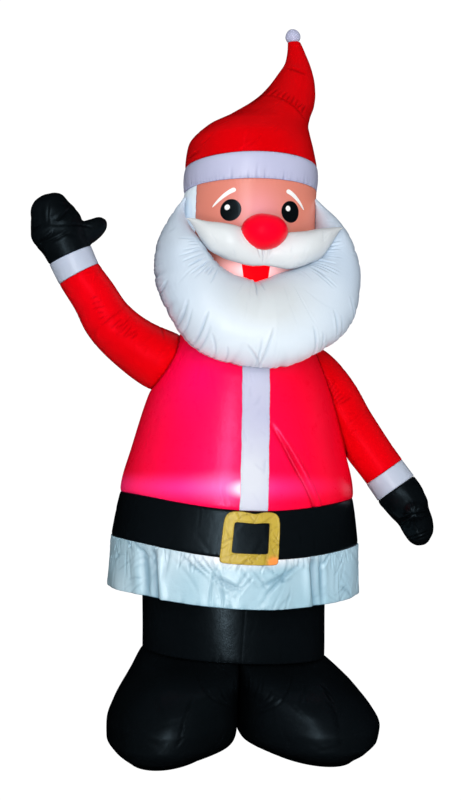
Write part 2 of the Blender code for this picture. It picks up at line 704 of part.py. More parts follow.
def build():
    """Makes every panel, fits the pillows and sleeves to their neighbours, and centres the figure."""
    for old in list(bpy.data.objects):
        bpy.data.objects.remove(old, do_unlink=True)
    figure = bpy.data.objects.new("figure", None)
    upper = bpy.data.objects.new("upper_body", None)
    for empty in (figure, upper):
        bpy.context.scene.collection.objects.link(empty)
    upper.parent = figure
    upper.rotation_euler = (0, 0, UPPER_TURN)

    red, white, black = material("red", RED), material("white", WHITE), material("black", BLACK)
    boot("right_boot", -1, figure)
    boot("left_boot", 1, figure)
    legs(figure)
    skirt_trim(upper)
    torso_panel("belt", np.linspace(LEG_TOP, BELT_TOP, 3), black, upper)
    torso_panel("coat", coat_levels(SEAM_GAP), red, upper)
    placket(upper)
    buckle(upper)

    levels = head_levels(SEAM_GAP)
    head_ends = (head_middle(levels[0]), head_middle(levels[-1]))
    stack("head", [head(turn(AROUND), level) for level in levels], white, upper, head_ends)
    face(upper)
    mouth(upper)
    eyes(upper)
    hat_band(upper)
    hat(upper)
    pompom(upper)

    coat_fit = torso_panel("coat_fit", coat_levels(), red, upper, grow=SEAM_GAP)
    coat_patch_fit = torso_panel("coat_patch_fit", coat_levels(), red, upper, grow=PATCH_CLEARANCE)
    fit_levels = (NECK - 0.02, *head_levels(), BROW + 0.02)
    head_fit = stack("head_fit", [head(turn(AROUND), level, PATCH_CLEARANCE) for level in fit_levels],
                     white, upper)

    right, left = Arm(raised_arm()), Arm(lowered_arm())
    for name, arm in (("right", right), ("left", left)):
        cut(sleeve(name + "_sleeve", arm, upper), coat_fit)
        cuff(name + "_cuff", arm, upper)
    whole = MITTEN_LENGTH
    mitten = lobes("right_mitten", right, (
        (0, 0, 0.066, 0.063), (0.25 * whole, 0, 0.0745, 0.062), (0.47 * whole, -0.003, 0.080, 0.058),
        (0.6 * whole, 0.000, 0.0715, 0.050), (0.68 * whole, 0.003, 0.067, 0.052),
        (0.86 * whole, 0.003, 0.054, 0.044), (0.96 * whole, 0.005, 0.032, 0.026),
        (whole, 0.006, 0.006, 0.005)), upper)
    joined(mitten, thumb("right_thumb", right, (
        (0.25 * whole, 0.025, 0, 0.030), (0.25 * whole, 0.065, 0, 0.032),
        (0.24 * whole, 0.098, 0, 0.029), (0.26 * whole, 0.126, 0, 0.020),
        (0.27 * whole, 0.140, 0, 0.003)), upper))
    mitten = lobes("left_mitten", left, (
        (0, 0, 0.066, 0.063), (0.24 * whole, 0, 0.065, 0.070), (0.43 * whole, 0.001, 0.0565, 0.075),
        (0.53 * whole, 0.006, 0.052, 0.073), (0.66 * whole, 0.011, 0.048, 0.066),
        (0.8 * whole, 0.017, 0.043, 0.055), (0.91 * whole, 0.021, 0.030, 0.036),
        (0.975 * whole, 0.024, 0.006, 0.006)), upper)
    joined(mitten, thumb("left_thumb", left, (
        (0.22 * whole, 0.0, -0.02, 0.030), (0.24 * whole, 0.0, -0.055, 0.031),
        (0.28 * whole, 0.0, -0.085, 0.028), (0.34 * whole, 0.0, -0.108, 0.018),
        (0.37 * whole, 0.0, -0.118, 0.003)), upper))

    chin = beard("beard", upper)
    cut(chin, head_fit)
    cut(chin, coat_patch_fit)
    beard_fit = beard("beard_fit", upper, grow=SEAM_GAP)
    lip = moustache("moustache", upper)
    cut(lip, head_fit)
    cut(lip, beard_fit)
    lip_fit = moustache("moustache_fit", upper, grow=SEAM_GAP)
    ball = nose(upper)
    cut(ball, head_fit)
    cut(ball, lip_fit)

    stand_on_middle(figure)


def raised_arm():
    """The waving arm: points (x, y, z, radius) from inside the coat, round the elbow, to the wrist."""
    return ((-0.10, 0.025, NECK - 0.128, 0.094), (-0.213, 0.02, NECK - 0.092, 0.092),
            (-0.300, 0.01, NECK - 0.041, 0.0815), (-0.3756, 0, NECK + 0.025, 0.0745),
            (-0.419, 0, NECK + 0.094, 0.0675), (-0.462, 0, NECK + 0.161, SLEEVE_END_RADIUS),
            (-0.488, 0, NECK + 0.216, 0.067))


def lowered_arm():
    """The hanging arm: points (x, y, z, radius) from inside the coat to the wrist."""
    return ((0.135, 0.01, NECK - 0.098, 0.074), (0.208, 0.01, NECK - 0.106, 0.0755),
            (0.264, 0, NECK - 0.141, 0.0755), (0.359, -0.015, NECK - 0.282, 0.072),
            (0.456, -0.045, NECK - 0.425, SLEEVE_END_RADIUS), (0.489, -0.057, NECK - 0.474, 0.0665))


def stand_on_middle(figure):
    """Moves the figure so that the origin is on the floor, under the middle of its outer box."""
    bpy.context.view_layer.update()
    graph = bpy.context.evaluated_depsgraph_get()
    low, high = np.full(3, np.inf), np.full(3, -np.inf)
    for thing in bpy.data.objects:
        if thing.type != "MESH" or thing.hide_render:
            continue
        shown = thing.evaluated_get(graph)
        points = np.array([shown.matrix_world @ v.co for v in shown.data.vertices])
        low, high = np.minimum(low, points.min(0)), np.maximum(high, points.max(0))
    figure.location = (-(low[0] + high[0]) / 2, -(low[1] + high[1]) / 2, 0)
    bpy.context.view_layer.update()


build()
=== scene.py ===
"""The looks of a waving inflatable Santa, sewn from panels of thin satin polyester and held up by air.

Metres, +Z up. He faces -Y and his right hand is at -X. Every panel is a surface worked out on a grid,
the smooth form first and then the relief of the cloth: the pinch of its seams, the puckers that run
off them, creases and a slow unevenness. The upper body is worked out unturned and turned at the end.
"""

import math

import bmesh
import bpy
import numpy as np
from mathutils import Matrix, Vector


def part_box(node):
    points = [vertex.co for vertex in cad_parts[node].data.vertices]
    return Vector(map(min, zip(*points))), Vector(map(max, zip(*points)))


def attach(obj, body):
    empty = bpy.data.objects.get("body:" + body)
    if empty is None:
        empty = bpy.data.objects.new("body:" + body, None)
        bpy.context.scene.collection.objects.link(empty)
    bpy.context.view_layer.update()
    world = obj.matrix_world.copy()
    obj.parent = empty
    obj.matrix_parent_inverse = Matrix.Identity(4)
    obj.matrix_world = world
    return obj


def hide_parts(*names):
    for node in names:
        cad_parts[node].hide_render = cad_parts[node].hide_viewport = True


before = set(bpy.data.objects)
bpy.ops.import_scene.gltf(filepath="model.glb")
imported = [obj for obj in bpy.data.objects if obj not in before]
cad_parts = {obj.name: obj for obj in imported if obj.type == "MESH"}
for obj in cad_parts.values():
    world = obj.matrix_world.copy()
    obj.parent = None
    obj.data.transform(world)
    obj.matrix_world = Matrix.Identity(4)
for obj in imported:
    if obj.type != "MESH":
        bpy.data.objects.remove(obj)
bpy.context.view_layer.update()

# Heights of the stacked panels, from the floor up
BOOT_HEIGHT = 0.262
LEG_LENGTH = 0.3495
BELT_HEIGHT = 0.1335
COAT_HEIGHT = 0.479
HEAD_HEIGHT = 0.406
BAND_HEIGHT = 0.072
HAT_HEIGHT = 0.391
POMPOM_RADIUS = 0.0225

# Half widths, from the middle of the figure to its side, and depths as shares of them
LEG_HALF_WIDTH = 0.2742
BELLY_HALF_WIDTH = 0.372
NECK_HALF_WIDTH = 0.186
HEAD_HALF_WIDTH = 0.199
DEPTH_SHARE = 0.86
HEAD_DEPTH_SHARE = 0.94

# How the figure stands
LEAN = 0.0417
BELT_SHIFT = 0.005
SEAM_ROLL = 0.055
BOOT_SWAY = 0.012
BELT_ROLL = 0.040
BELT_DIP = 0.046
BROW_BOW = 0.017
UPPER_TURN = math.radians(5)
HEAD_FORWARD = 0.02

# Cloth and seams
SEAM_GAP = 0.0004
CLOTH = 0.0012
STITCH = 0.0042
PINCH = 0.0030
PINCH_REACH = 0.0045

# Skirt trim
SKIRT_DROP = 0.1455
SKIRT_FLARE = 0.009
HEM_RISE = 0.008
HEM_WAVE = 0.003
HEM_WAVES = 9

# Placket and buckle
PLACKET_WIDTH = 0.080
PLACKET_SHIFT = 0.004
BUCKLE_WIDTH = 0.162
BUCKLE_HEIGHT = 0.147
BUCKLE_BORDER = 0.031
BUCKLE_LEAN = 0.06
BUCKLE_SHIFT = -0.013
BUCKLE_ROUND = 0.6

# Sleeves, cuffs and mittens
SLEEVE_END_RADIUS = 0.0655
CUFF_LENGTH = 0.060
MITTEN_LENGTH = 0.192
SLEEVE_ROOT_RADIUS = 0.08
SLEEVE_MEAN_RADIUS = 0.07
MITTEN_MEAN_RADIUS = 0.06

# Face, beard, moustache and nose
FACE_RIGHT_ANGLE = math.radians(-61)
FACE_LEFT_ANGLE = math.radians(70)
FACE_LIFT = 0.0020
BEARD_CENTRE_DROP = 0.180
BEARD_RADIUS = 0.350
BEARD_PUFF = 0.125
BEARD_REACH = math.radians(131)
BEARD_TILT = math.radians(5)
BEARD_BREADTH = 0.25
BEARD_ROUND = 4.0
MOUSTACHE_HALF_SPAN = 0.228
MOUSTACHE_ROLL = math.radians(2)
MOUSTACHE_SECTION = 0.05
NOSE_HALF_WIDTH = 0.0665
NOSE_HALF_HEIGHT = 0.0525
NOSE_DEPTH = 0.058
NOSE_DROP = 0.146
NOSE_MEAN_RADIUS = 0.06
LIP_DROP = 0.151
EYE_RADIUS = 0.0295
EYE_WIDENING = 1.07
GLINT_RADIUS = 0.0075
EYE_ANGLE = math.radians(26)
EYE_DROP = 0.084

# Levels where one panel ends and the next begins
LEG_TOP = BOOT_HEIGHT + LEG_LENGTH
BELT_TOP = LEG_TOP + BELT_HEIGHT
NECK = BELT_TOP + COAT_HEIGHT
BROW = NECK + HEAD_HEIGHT
BAND_TOP = BROW + BAND_HEIGHT
HAT_TIP = BAND_TOP + HAT_HEIGHT

# Once round the boots, the body and the head, in metres; the boots' is a mean
BOOT_RADIUS = 0.3
BOOT_ROUND = 2 * math.pi * BOOT_RADIUS
LEG_ROUND = 2 * math.pi * LEG_HALF_WIDTH
BODY_ROUND = 2 * math.pi * BELLY_HALF_WIDTH
HEAD_ROUND = 2 * math.pi * HEAD_HALF_WIDTH

# Free outlines, as shares of the size that drives them. The torso's columns are height and half
# width; the hat's are height, and sideways shift or half width.
TORSO_OUTLINE = ((0, 1), (0.11, 0.974), (0.218, 0.942), (0.352, 0.898), (0.513, 0.832), (0.66, 0.761),
                 (0.788, 0.682), (0.896, 0.597), (1, NECK_HALF_WIDTH / BELLY_HALF_WIDTH))
HAT_SHIFT = ((0, 0), (0.178, -0.004), (0.31, 0.036), (0.41, 0.134), (0.507, 0.231), (0.606, 0.294),
             (0.735, 0.342), (0.84, 0.362), (0.928, 0.352), (1, 0.337))
HAT_OUTLINE = ((0, 1), (0.178, 0.935), (0.31, 0.79), (0.41, 0.625), (0.507, 0.503), (0.606, 0.403),
               (0.735, 0.283), (0.84, 0.186), (0.928, 0.133), (1, 0.097))

# The beard's mouth edge: its way off the middle of the beard, in metres, by bend. It comes to a
# point under the lip.
BEARD_MOUTH = ((-2.3, 0.250), (-2.0, 0.204), (-1.73, 0.157), (-1.45, 0.134), (-1.2, 0.123),
               (-0.85, 0.1095), (-0.5, 0.0985), (-0.3, 0.0985), (-0.24, 0.1015), (-0.18, 0.0960),
               (0.1, 0.0880), (0.38, 0.0855), (0.65, 0.092), (0.95, 0.112), (1.25, 0.143), (1.5, 0.166),
               (1.95, 0.207), (2.3, 0.250))

# The camera, as the photograph was taken: its place, the focal length in millimetres for a frame
# 36 mm high, and how far the frame is shifted, in shares of its height
CAMERA_DISTANCE = 4.06
CAMERA_HEIGHT = 0.926
CAMERA_AZIMUTH = math.radians(-5)
CAMERA_LENS = 60.75
CAMERA_SHIFT = (-0.00375, 0.0375)

# How bright the camera sees room and floor, a little over pure white
WHITE_STRENGTH = 1.05


def smooth(at, stations):
    """Values on a curve through the stations (place, value) that never overshoots them: between two
    stations a cubic, whose slope at each is the harmonic mean of the slopes on its two sides."""
    place, value = np.asarray(stations, float).T
    step = np.diff(place)
    slope = np.diff(value) / step
    tangent = np.zeros_like(value)
    tangent[0], tangent[-1] = slope[0], slope[-1]
    rising = slope[:-1] * slope[1:] > 0
    both = np.where(rising, slope[:-1] + slope[1:], 1.0)
    tangent[1:-1] = np.where(rising, 2 * slope[:-1] * slope[1:] / both, 0.0)
    i = np.clip(np.searchsorted(place, at) - 1, 0, len(step) - 1)
    t = (np.asarray(at, float) - place[i]) / step[i]
    rise = t * t * (3 - 2 * t)
    return (value[i] * (1 - rise) + value[i + 1] * rise
            + step[i] * t * (1 - t) * (tangent[i] * (1 - t) - tangent[i + 1] * t))


def turn(steps, closer=0.0, at=0.0):
    """Angles once round, from the front towards his left, closer together round the angle at:
    t - closer sin(t - at)."""
    t = np.linspace(0, 2 * math.pi, steps, endpoint=False)
    return t - closer * np.sin(t - at)


def dense(low, high, steps, pull=0.6):
    """Places from low to high, closer together towards both ends: a straight run mixed with a
    cosine one."""
    share = np.linspace(0, 1, steps)
    return low + (high - low) * ((1 - pull) * share + pull * (1 - np.cos(math.pi * share)) / 2)


def held(value):
    """A number or an array kept between 0 and 1."""
    return np.clip(value, 0, 1)


def both_sides(near, far=None, axis=1):
    """A grid and the one behind it, joined at their edges: near, then far the other way about."""
    return np.concatenate([near, np.flip(near if far is None else far, axis)], axis)


# Relief of cloth

def bell(x):
    """exp(-x^2), a bump one wide."""
    return np.exp(-np.square(x))


def pinch(away, depth=PINCH, reach=PINCH_REACH):
    """How far a seam holds the cloth in: depth at the seam, falling off as exp(-away / reach)."""
    return -depth * np.exp(-np.abs(away) / reach)


def puckers(run, away, length, spacing, reach, seed):
    """Short creases that run off a seam, 0 where the cloth is smooth and 1 at the deepest. The run
    along the seam is divided into cells, and each cell has one crease with its own place, depth,
    reach and slant: (1 - d^2)^2 across it, fading with the square of the way off the seam."""
    cells = max(3, round(length / spacing))
    draw = np.random.default_rng(seed)
    place, deep, far, slant = (draw.uniform(low, high, cells)
                               for low, high in ((0.36, 0.64), (0.12, 1), (0.3, 1), (-0.08, 0.08)))
    at = np.mod(run / length, 1.0) * cells
    i = np.minimum(at.astype(int), cells - 1)
    fade = held(1 - np.abs(away) / (reach * far[i])) ** 2
    across = (at - i - place[i] - slant[i] * (1 - fade)) / 0.28
    return deep[i] * fade * held(1 - across ** 2) ** 2


def billow(points, size, seed):
    """A slow unevenness of about -1 to 1: six plane waves, each about size metres long, in
    directions drawn at random."""
    draw = np.random.default_rng(seed)
    waves = draw.normal(size=(3, 6))
    waves *= 2 * math.pi / size * draw.uniform(0.7, 1.4, 6) / np.linalg.norm(waves, axis=0)
    return np.sin(points @ waves + draw.uniform(0, 2 * math.pi, 6)).sum(-1) / 3


def fold(across, up, x0, z0, x1, z1, width, bow=0.0, skew=0.0):
    """One long crease between two places of a flat view of the cloth, 0 to 1. Across it is a valley
    between two low ridges, (1 - u^2 + skew u) exp(-u^2 / 1.5); along it fades to nothing at both ends;
    bow is how far its middle stands off the straight line, and skew makes one side the steeper."""
    way = x1 - x0, z1 - z0
    length = math.hypot(*way)
    along = ((across - x0) * way[0] + (up - z0) * way[1]) / length ** 2
    inside = held(1 - (2 * along - 1) ** 2)
    off = ((across - x0) * way[1] - (up - z0) * way[0]) / length - bow * inside
    u = off / width
    return inside ** 0.8 * (1 - u * u + skew * u) * np.exp(-u * u / 1.5)


def folded(points, folds, facing):
    """Height and mark of the creases given in the front view, on the cloth that faces forward. A
    crease is a row: depth, the x and z of its start and of its end, width, bow and skew."""
    height, crease = np.zeros(facing.shape), np.zeros(facing.shape)
    for depth, *row in folds:
        line = facing * fold(points[..., 0], points[..., 2], *row)
        height = height - depth * line
        crease = np.maximum(crease, held(line))
    return height, crease


def ladder(start, end, count, length, lean, width, depth, seed):
    """Rows of short creases side by side along a line of the front view, like the gathers of a dart,
    each leaning by about the angle lean from the level."""
    draw = np.random.default_rng(seed)
    rows = []
    for share in (np.arange(count) + 0.5) / count:
        middle = np.add(start, np.subtract(end, start) * share)
        angle = lean + draw.uniform(-0.25, 0.25)
        half = length * draw.uniform(0.3, 0.6) * np.array([math.cos(angle), math.sin(angle)])
        wide, deep = width * draw.uniform(0.8, 1.3), depth * draw.uniform(0.5, 1)
        rows.append((deep, *(middle - half), *(middle + half), wide, 0.0, draw.uniform(-0.8, 0.8)))
    return rows


def fan(centre, near, far, first, last, count, width, depth, seed):
    """Rows of short creases that run off a place of the front view like rays, between two distances
    from it and between two angles, in radians from level."""
    draw = np.random.default_rng(seed)
    rows = []
    for angle in np.linspace(first, last, count) + draw.uniform(-0.05, 0.05, count):
        way = np.array([math.cos(angle), math.sin(angle)])
        start = np.add(centre, way * (near + (far - near) * draw.uniform(0, 0.15)))
        end = np.add(centre, way * (far - (far - near) * draw.uniform(0, 0.55)))
        wide, deep = width * draw.uniform(0.8, 1.2), depth * draw.uniform(0.5, 1)
        rows.append((deep, *start, *end, wide, 0.0, draw.uniform(-0.9, 0.9)))
    return rows


def scattered(run, up, around, low, high, count, length, width, lean, seed):
    """Many short creases on a flat view of the cloth that closes on itself after some metres round:
    each has its own place between two levels, its length, width, bow, skew and lean from upright.
    Their sum."""
    draw = np.random.default_rng(seed)
    total = np.zeros(run.shape)
    for _ in range(count):
        middle, level = draw.uniform(0, around), draw.uniform(low, high)
        angle, size = draw.uniform(*lean), length * draw.uniform(0.2, 0.5)
        half_x, half_z = size * math.sin(angle), size * math.cos(angle)
        off = np.mod(run - middle + around / 2, around) - around / 2
        total += draw.uniform(0.3, 1) * fold(off, up, -half_x, level - half_z, half_x, level + half_z,
                                             width * draw.uniform(0.7, 1.5),
                                             size * draw.uniform(-0.2, 0.2), draw.uniform(-1.2, 1.2))
    return total


def creased(layers, folds=None, weight=1.0):
    """Height and mark of all the creases of a piece; the mark is painted shade, how much darker the finish
    paints the cloth there, and it roughens it a little. Each layer is its lines from 0 to 1, how deep they
    press the cloth in and how strongly they are painted darker: the depths and the painted shades add up.
    folds are a height and a mark of long creases, the mark counted where it is the stronger."""
    height = -sum(depth * lines for lines, depth, _ in layers)
    mark = sum(strength * lines for lines, _, strength in layers)
    if folds:
        height, mark = height + folds[0], np.maximum(mark, weight * folds[1])
    return height, held(mark)


# Meshes

def grid_faces(rows, columns, close_rows=False):
    """Corner numbers of a grid's four-sided faces. Its columns close on themselves, and its rows too
    if asked. The second array says how far round each corner is, unwrapped."""
    r = np.arange(rows if close_rows else rows - 1)[:, None]
    c = np.arange(columns)[None, :]
    ahead, up = (c + 1) % columns, (r + 1) % rows
    corners = [r * columns + c, r * columns + ahead, up * columns + ahead, up * columns + c]
    places = [(r, c), (r, c + 1), (r + 1, c + 1), (r + 1, c)]
    numbers = np.stack(np.broadcast_arrays(*corners), -1).reshape(-1, 4)
    unwrapped = np.stack([np.stack(np.broadcast_arrays(*p), -1).reshape(-1, 2) for p in places], 1)
    return numbers, unwrapped


def unit(vectors):
    """Vectors made one long."""
    return vectors / np.maximum(np.linalg.norm(vectors, axis=-1, keepdims=True), 1e-12)


def lifted(skin, height):
    """A grid of points, whose columns close, moved along its unit normals: the cross product of the
    differences along it and round it, pointing away from the middle of each row."""
    out = unit(np.cross(np.roll(skin, -1, 1) - np.roll(skin, 1, 1), np.gradient(skin, axis=0)))
    away = skin - skin.mean(1, keepdims=True)
    return skin + height[..., None] * out * (1 if (out * away).sum() > 0 else -1)


TURN_LEFT = np.array([[math.cos(UPPER_TURN), math.sin(UPPER_TURN), 0],
                      [-math.sin(UPPER_TURN), math.cos(UPPER_TURN), 0], [0, 0, 1]])


def turned_up(points):
    """Points of the upper body, turned to his left and set over the boots."""
    return points @ TURN_LEFT + FIGURE_PLACE


def sew(name, skin, finish, crease=None, seam=None, join=None, closed=False, upper=True):
    """A finished piece from a grid of points whose columns close. Its two ends are fans round the
    middle of the first and last row, or the rows close too. The map called cloth holds the way
    round and the way along in metres. Crease, seam, the way off the piece's own seams, and join, the
    way over the line where another piece is sewn on, are kept on the points."""
    rows, columns, _ = skin.shape
    numbers, places = grid_faces(rows, columns, closed)
    steps_round = np.linalg.norm(np.roll(skin, -1, 1) - skin, axis=-1)
    way_round = np.concatenate([[0], np.cumsum(steps_round[steps_round.sum(1).argmax()])])
    steps = np.linalg.norm(np.roll(skin, -1, 0) - skin, axis=-1).mean(1)
    run = np.concatenate([[0], np.cumsum(steps)])
    cloth_map = np.stack([way_round[places[..., 1]], run[places[..., 0]]], -1).reshape(-1, 2)
    points, fans = skin.reshape(-1, 3), np.zeros((0, 3), int)
    if not closed:
        points, fans = fanned(skin)
        here, ahead = way_round[:-1], way_round[1:]
        middle = (here + ahead) / 2
        level = np.repeat([run[0], run[rows - 1]], columns * 3)
        way = np.concatenate([np.stack([middle, ahead, here], -1), np.stack([middle, here, ahead], -1)])
        cloth_map = np.vstack([cloth_map, np.stack([way.ravel(), level], -1)])
    points = turned_up(points) if upper else points + FIGURE_PLACE
    mesh = filled(name, points, numbers, fans, cloth_map)
    for mark, values, unmarked in (("crease", crease, 0.0), ("seam", seam, 1.0), ("join", join, 1.0)):
        kept = np.full(len(points), unmarked)
        if values is not None:
            kept[:rows * columns] = values.ravel()
        keep_mark(mesh, mark, kept)
    return dressed(name, mesh, finish)


def keep_mark(mesh, mark, values):
    """Keeps one number on each point of a mesh, for its finish to read."""
    mesh.attributes.new(mark, "FLOAT", "POINT").data.foreach_set("value", values.astype(np.float32))


def fanned(skin):
    """The points of a grid whose columns close, with the middles of its first and last row added,
    and the triangles round both middles."""
    rows, columns, _ = skin.shape
    points = np.vstack([skin.reshape(-1, 3), skin[0].mean(0), skin[-1].mean(0)])
    c = np.arange(columns)
    ahead, last, count = (c + 1) % columns, (rows - 1) * columns, rows * columns
    return points, np.concatenate([np.stack([np.full(columns, count), ahead, c], -1),
                                   np.stack([np.full(columns, count + 1), last + c, last + ahead], -1)])


def filled(name, points, quads, triangles, cloth_map=None):
    """A mesh from arrays, its faces turned outwards by the sign of its volume: the sum over its
    triangles of a . (b x c)."""
    parts = np.concatenate([quads[:, [0, 1, 2]], quads[:, [0, 2, 3]], triangles])
    a, b, c = (points[parts[:, k]] - points[0] for k in range(3))
    if (a * np.cross(b, c)).sum() < 0:
        quads, triangles = quads[:, ::-1], triangles[:, ::-1]
        if cloth_map is not None:
            split = quads.size
            cloth_map = np.vstack([cloth_map[:split].reshape(-1, 4, 2)[:, ::-1].reshape(-1, 2),
                                   cloth_map[split:].reshape(-1, 3, 2)[:, ::-1].reshape(-1, 2)])
    mesh = bpy.data.meshes.new(name)
    mesh.vertices.add(len(points))
    mesh.vertices.foreach_set("co", points.astype(np.float32).ravel())
    corners = np.concatenate([quads.ravel(), triangles.ravel()]).astype(np.int32)
    mesh.loops.add(len(corners))
    mesh.loops.foreach_set("vertex_index", corners)
    starts = np.concatenate([np.arange(len(quads)) * 4, quads.size + np.arange(len(triangles)) * 3])
    mesh.polygons.add(len(starts))
    mesh.polygons.foreach_set("loop_start", starts.astype(np.int32))
    mesh.update(calc_edges=True)
    mesh.shade_smooth()
    if cloth_map is not None:
        mesh.uv_layers.new(name="cloth").uv.foreach_set("vector", cloth_map.astype(np.float32).ravel())
    return mesh


def dressed(name, mesh, finish):
    """An object of the figure that stands for the CAD node of its name, in one of the finishes."""
    made = bpy.data.objects.new(name + "_cloth", mesh)
    bpy.context.scene.collection.objects.link(made)
    material, slot = FINISH[finish]
    mesh.materials.append(material)
    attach(made, "root")
    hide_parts(name)
    return made


# Surfaces of the body. An angle is 0 at the front and grows towards his left.

def sway(level):
    """How far the middle of the upper body has leaned sideways at a level."""
    return BELT_SHIFT + LEAN * (level - LEG_TOP)


def torso_half_width(level):
    """Half width of belt and coat at a level. Below the belt it runs on as the skirt."""
    share = (np.asarray(level, float) - LEG_TOP) / (NECK - LEG_TOP)
    inside = BELLY_HALF_WIDTH * smooth(held(share), TORSO_OUTLINE)
    return inside + SKIRT_FLARE * held((LEG_TOP - level) / SKIRT_DROP)


def torso(angle, level, grow=0.0, spread=1.0):
    """Points of belt and coat: an oval at each level, leaning with it, rolled to his right and
    dipped at the front. Grown outwards, and pulled to the middle where spread is under 1."""
    half = torso_half_width(level) + grow
    across = spread * half * np.sin(angle)
    depth = -spread * (half * DEPTH_SHARE + grow * (1 - DEPTH_SHARE)) * np.cos(angle)
    roll = BELT_ROLL * held((NECK - level) / (NECK - LEG_TOP))
    dip = BELT_DIP * held((NECK - level) / (NECK - BELT_TOP))
    facing = np.maximum(np.cos(angle), 0) ** 3
    behind = np.maximum(-np.cos(angle), 0) ** 2
    height = level - roll * across - dip * spread * (0.75 * facing + 0.25 * (1 - behind))
    return np.stack([sway(level) + across, depth, height], axis=-1)


def head(angle, level, grow=0.0):
    """Points of head and hat band: an oval at each level, set forward, its brow bowed upwards."""
    share = (level - NECK) / (BROW - NECK)
    half = smooth(share, ((0, NECK_HALF_WIDTH), (0.26, HEAD_HALF_WIDTH * 0.98), (0.7, HEAD_HALF_WIDTH),
                          (1, HEAD_HALF_WIDTH), (1.4, HEAD_HALF_WIDTH)))
    rise = smooth(share, ((0, 0), (0.26, 0.94), (0.5, 1), (1.4, 1)))
    depth_share = DEPTH_SHARE + (HEAD_DEPTH_SHARE - DEPTH_SHARE) * rise
    across = (half + grow) * np.sin(angle)
    depth = -HEAD_FORWARD * rise - (half * depth_share + grow) * np.cos(angle)
    bow = BROW_BOW * share ** 2 * ((1 + np.cos(angle)) / 2) ** 2
    return np.stack([sway(level) + across, depth, level + bow], axis=-1)


FACE_MIDDLE = sway(BROW - NOSE_DROP)


# Boots and legs

def boot_skin(side, angle, share):
    """Points of a boot at shares of its height: an ellipse with its toe turned out, cut off where
    the two boots meet, the corners rounded by a power mean, up to the legs' half ring at the top."""
    ring_depth = LEG_HALF_WIDTH * DEPTH_SHARE
    inner = smooth(share, ((0, 0.070), (0.08, 0.022), (0.16, -0.015), (0.25, -0.038), (0.36, -0.05),
                           (0.55, -0.06), (0.7, -0.085), (0.85, -0.15), (1, -LEG_HALF_WIDTH)))
    outer = smooth(share, ((0, 0.308), (0.1, 0.350), (0.22, 0.377), (0.36, 0.382), (0.55, 0.364),
                           (0.7, 0.340), (0.85, 0.308), (1, LEG_HALF_WIDTH)))
    toe = smooth(share, ((0, 0.38), (0.1, 0.43), (0.22, 0.452), (0.36, 0.452), (0.55, 0.43),
                         (0.7, 0.395), (0.85, 0.33), (1, ring_depth)))
    heel = smooth(share, ((0, 0.17), (0.1, 0.21), (0.22, 0.235), (0.5, 0.25), (1, ring_depth)))
    toe_out = math.radians(13) * smooth(share, ((0, 1), (0.36, 1), (0.7, 0.75), (1, 0)))
    c, s = np.cos(toe_out), np.sin(toe_out)
    half_x, half_y = (outer - inner) / 2, (heel + toe) / 2
    start_x, start_y = 0.6 * LEG_HALF_WIDTH, -0.03
    off_x, off_y = start_x - (inner + outer) / 2, start_y - (heel - toe) / 2
    run_x, run_y = np.cos(angle), np.sin(angle)
    head_x, head_y = (c * run_x + s * run_y) / half_x, (c * run_y - s * run_x) / half_y
    from_x, from_y = (c * off_x + s * off_y) / half_x, (c * off_y - s * off_x) / half_y
    a = head_x ** 2 + head_y ** 2
    b = from_x * head_x + from_y * head_y
    to_ellipse = (-b + np.sqrt(b * b - a * (from_x ** 2 + from_y ** 2 - 1))) / a
    to_middle = (start_x - SEAM_GAP) / np.maximum(-run_x, 1e-3)
    corner = 8.0
    reach = (to_ellipse ** -corner + to_middle ** -corner) ** (-1 / corner)
    x, y = start_x + reach * run_x, start_y + reach * run_y
    x = side * x + BOOT_SWAY * np.sin(math.pi * share) * held(x / LEG_HALF_WIDTH)
    return np.stack([x, y, share * (BOOT_HEIGHT - SEAM_ROLL * x)], axis=-1)


# The boots' creases: the gathers at the middle, the seam of the upper, and the dart over the toes
RIGHT_BOOT_FOLDS = (*fan((-0.010, 0.130), 0.050, 0.125, 1.55, 2.35, 9, 0.0030, 0.0032, 12),
                    (0.0026, -0.135, 0.250, -0.028, 0.160, 0.0030, 0.012, 0.6),
                    *ladder((-0.155, 0.188), (-0.185, 0.085), 9, 0.036, 0.75, 0.0030, 0.0026, 13),
                    (0.0016, -0.150, 0.195, -0.185, 0.080, 0.0026, 0.006, 0.5))
LEFT_BOOT_FOLDS = (*fan((0.012, 0.120), 0.050, 0.135, 0.75, 1.6, 11, 0.0028, 0.0024, 14),
                   (0.0022, 0.150, 0.250, 0.028, 0.135, 0.0030, -0.012, -0.6),
                   *ladder((0.232, 0.205), (0.250, 0.075), 9, 0.036, 2.3, 0.0030, 0.0026, 15),
                   (0.0016, 0.230, 0.210, 0.252, 0.070, 0.0026, -0.006, 0.5))


def boot(name, side, folds, seed):
    """A boot: gathered where it is sewn to the leg, with a sole seam and the fine wrinkles of thin
    cloth. It stays smooth at the floor and where it meets the other boot."""
    angle, share = np.meshgrid(turn(300, 0.45, 1.5 * math.pi), dense(0, 1, 72, 0.35))
    skin = boot_skin(side, angle, share)
    run, up, down = angle * BOOT_RADIUS, share * BOOT_HEIGHT, (1 - share) * BOOT_HEIGHT
    fine = scattered(run, up, BOOT_ROUND, 0.02, 0.24, 70, 0.11, 0.005, (-1.2, 1.2), seed + 3)
    relief, crease = creased(
        ((puckers(run, down, BOOT_ROUND, 0.022, 0.040, seed), 0.0022, 0.7),
         (puckers(run, up, BOOT_ROUND, 0.030, 0.035, seed + 2), 0.0015, 0.5), (fine, 0.0010, 0.25)),
        folded(skin, folds, held((-0.05 - skin[..., 1]) / 0.05)))
    height = relief + 0.0022 * billow(skin, 0.24, seed + 4) + pinch(down, 0.0014, 0.004)
    height = np.minimum(height, 0.004) * held((skin[..., 0] * side - 0.002) / 0.02) * held(up / 0.012)
    sew(name, lifted(skin, height), "dull_black_satin", crease, np.minimum(down, np.abs(up - 0.02)),
        upper=False)


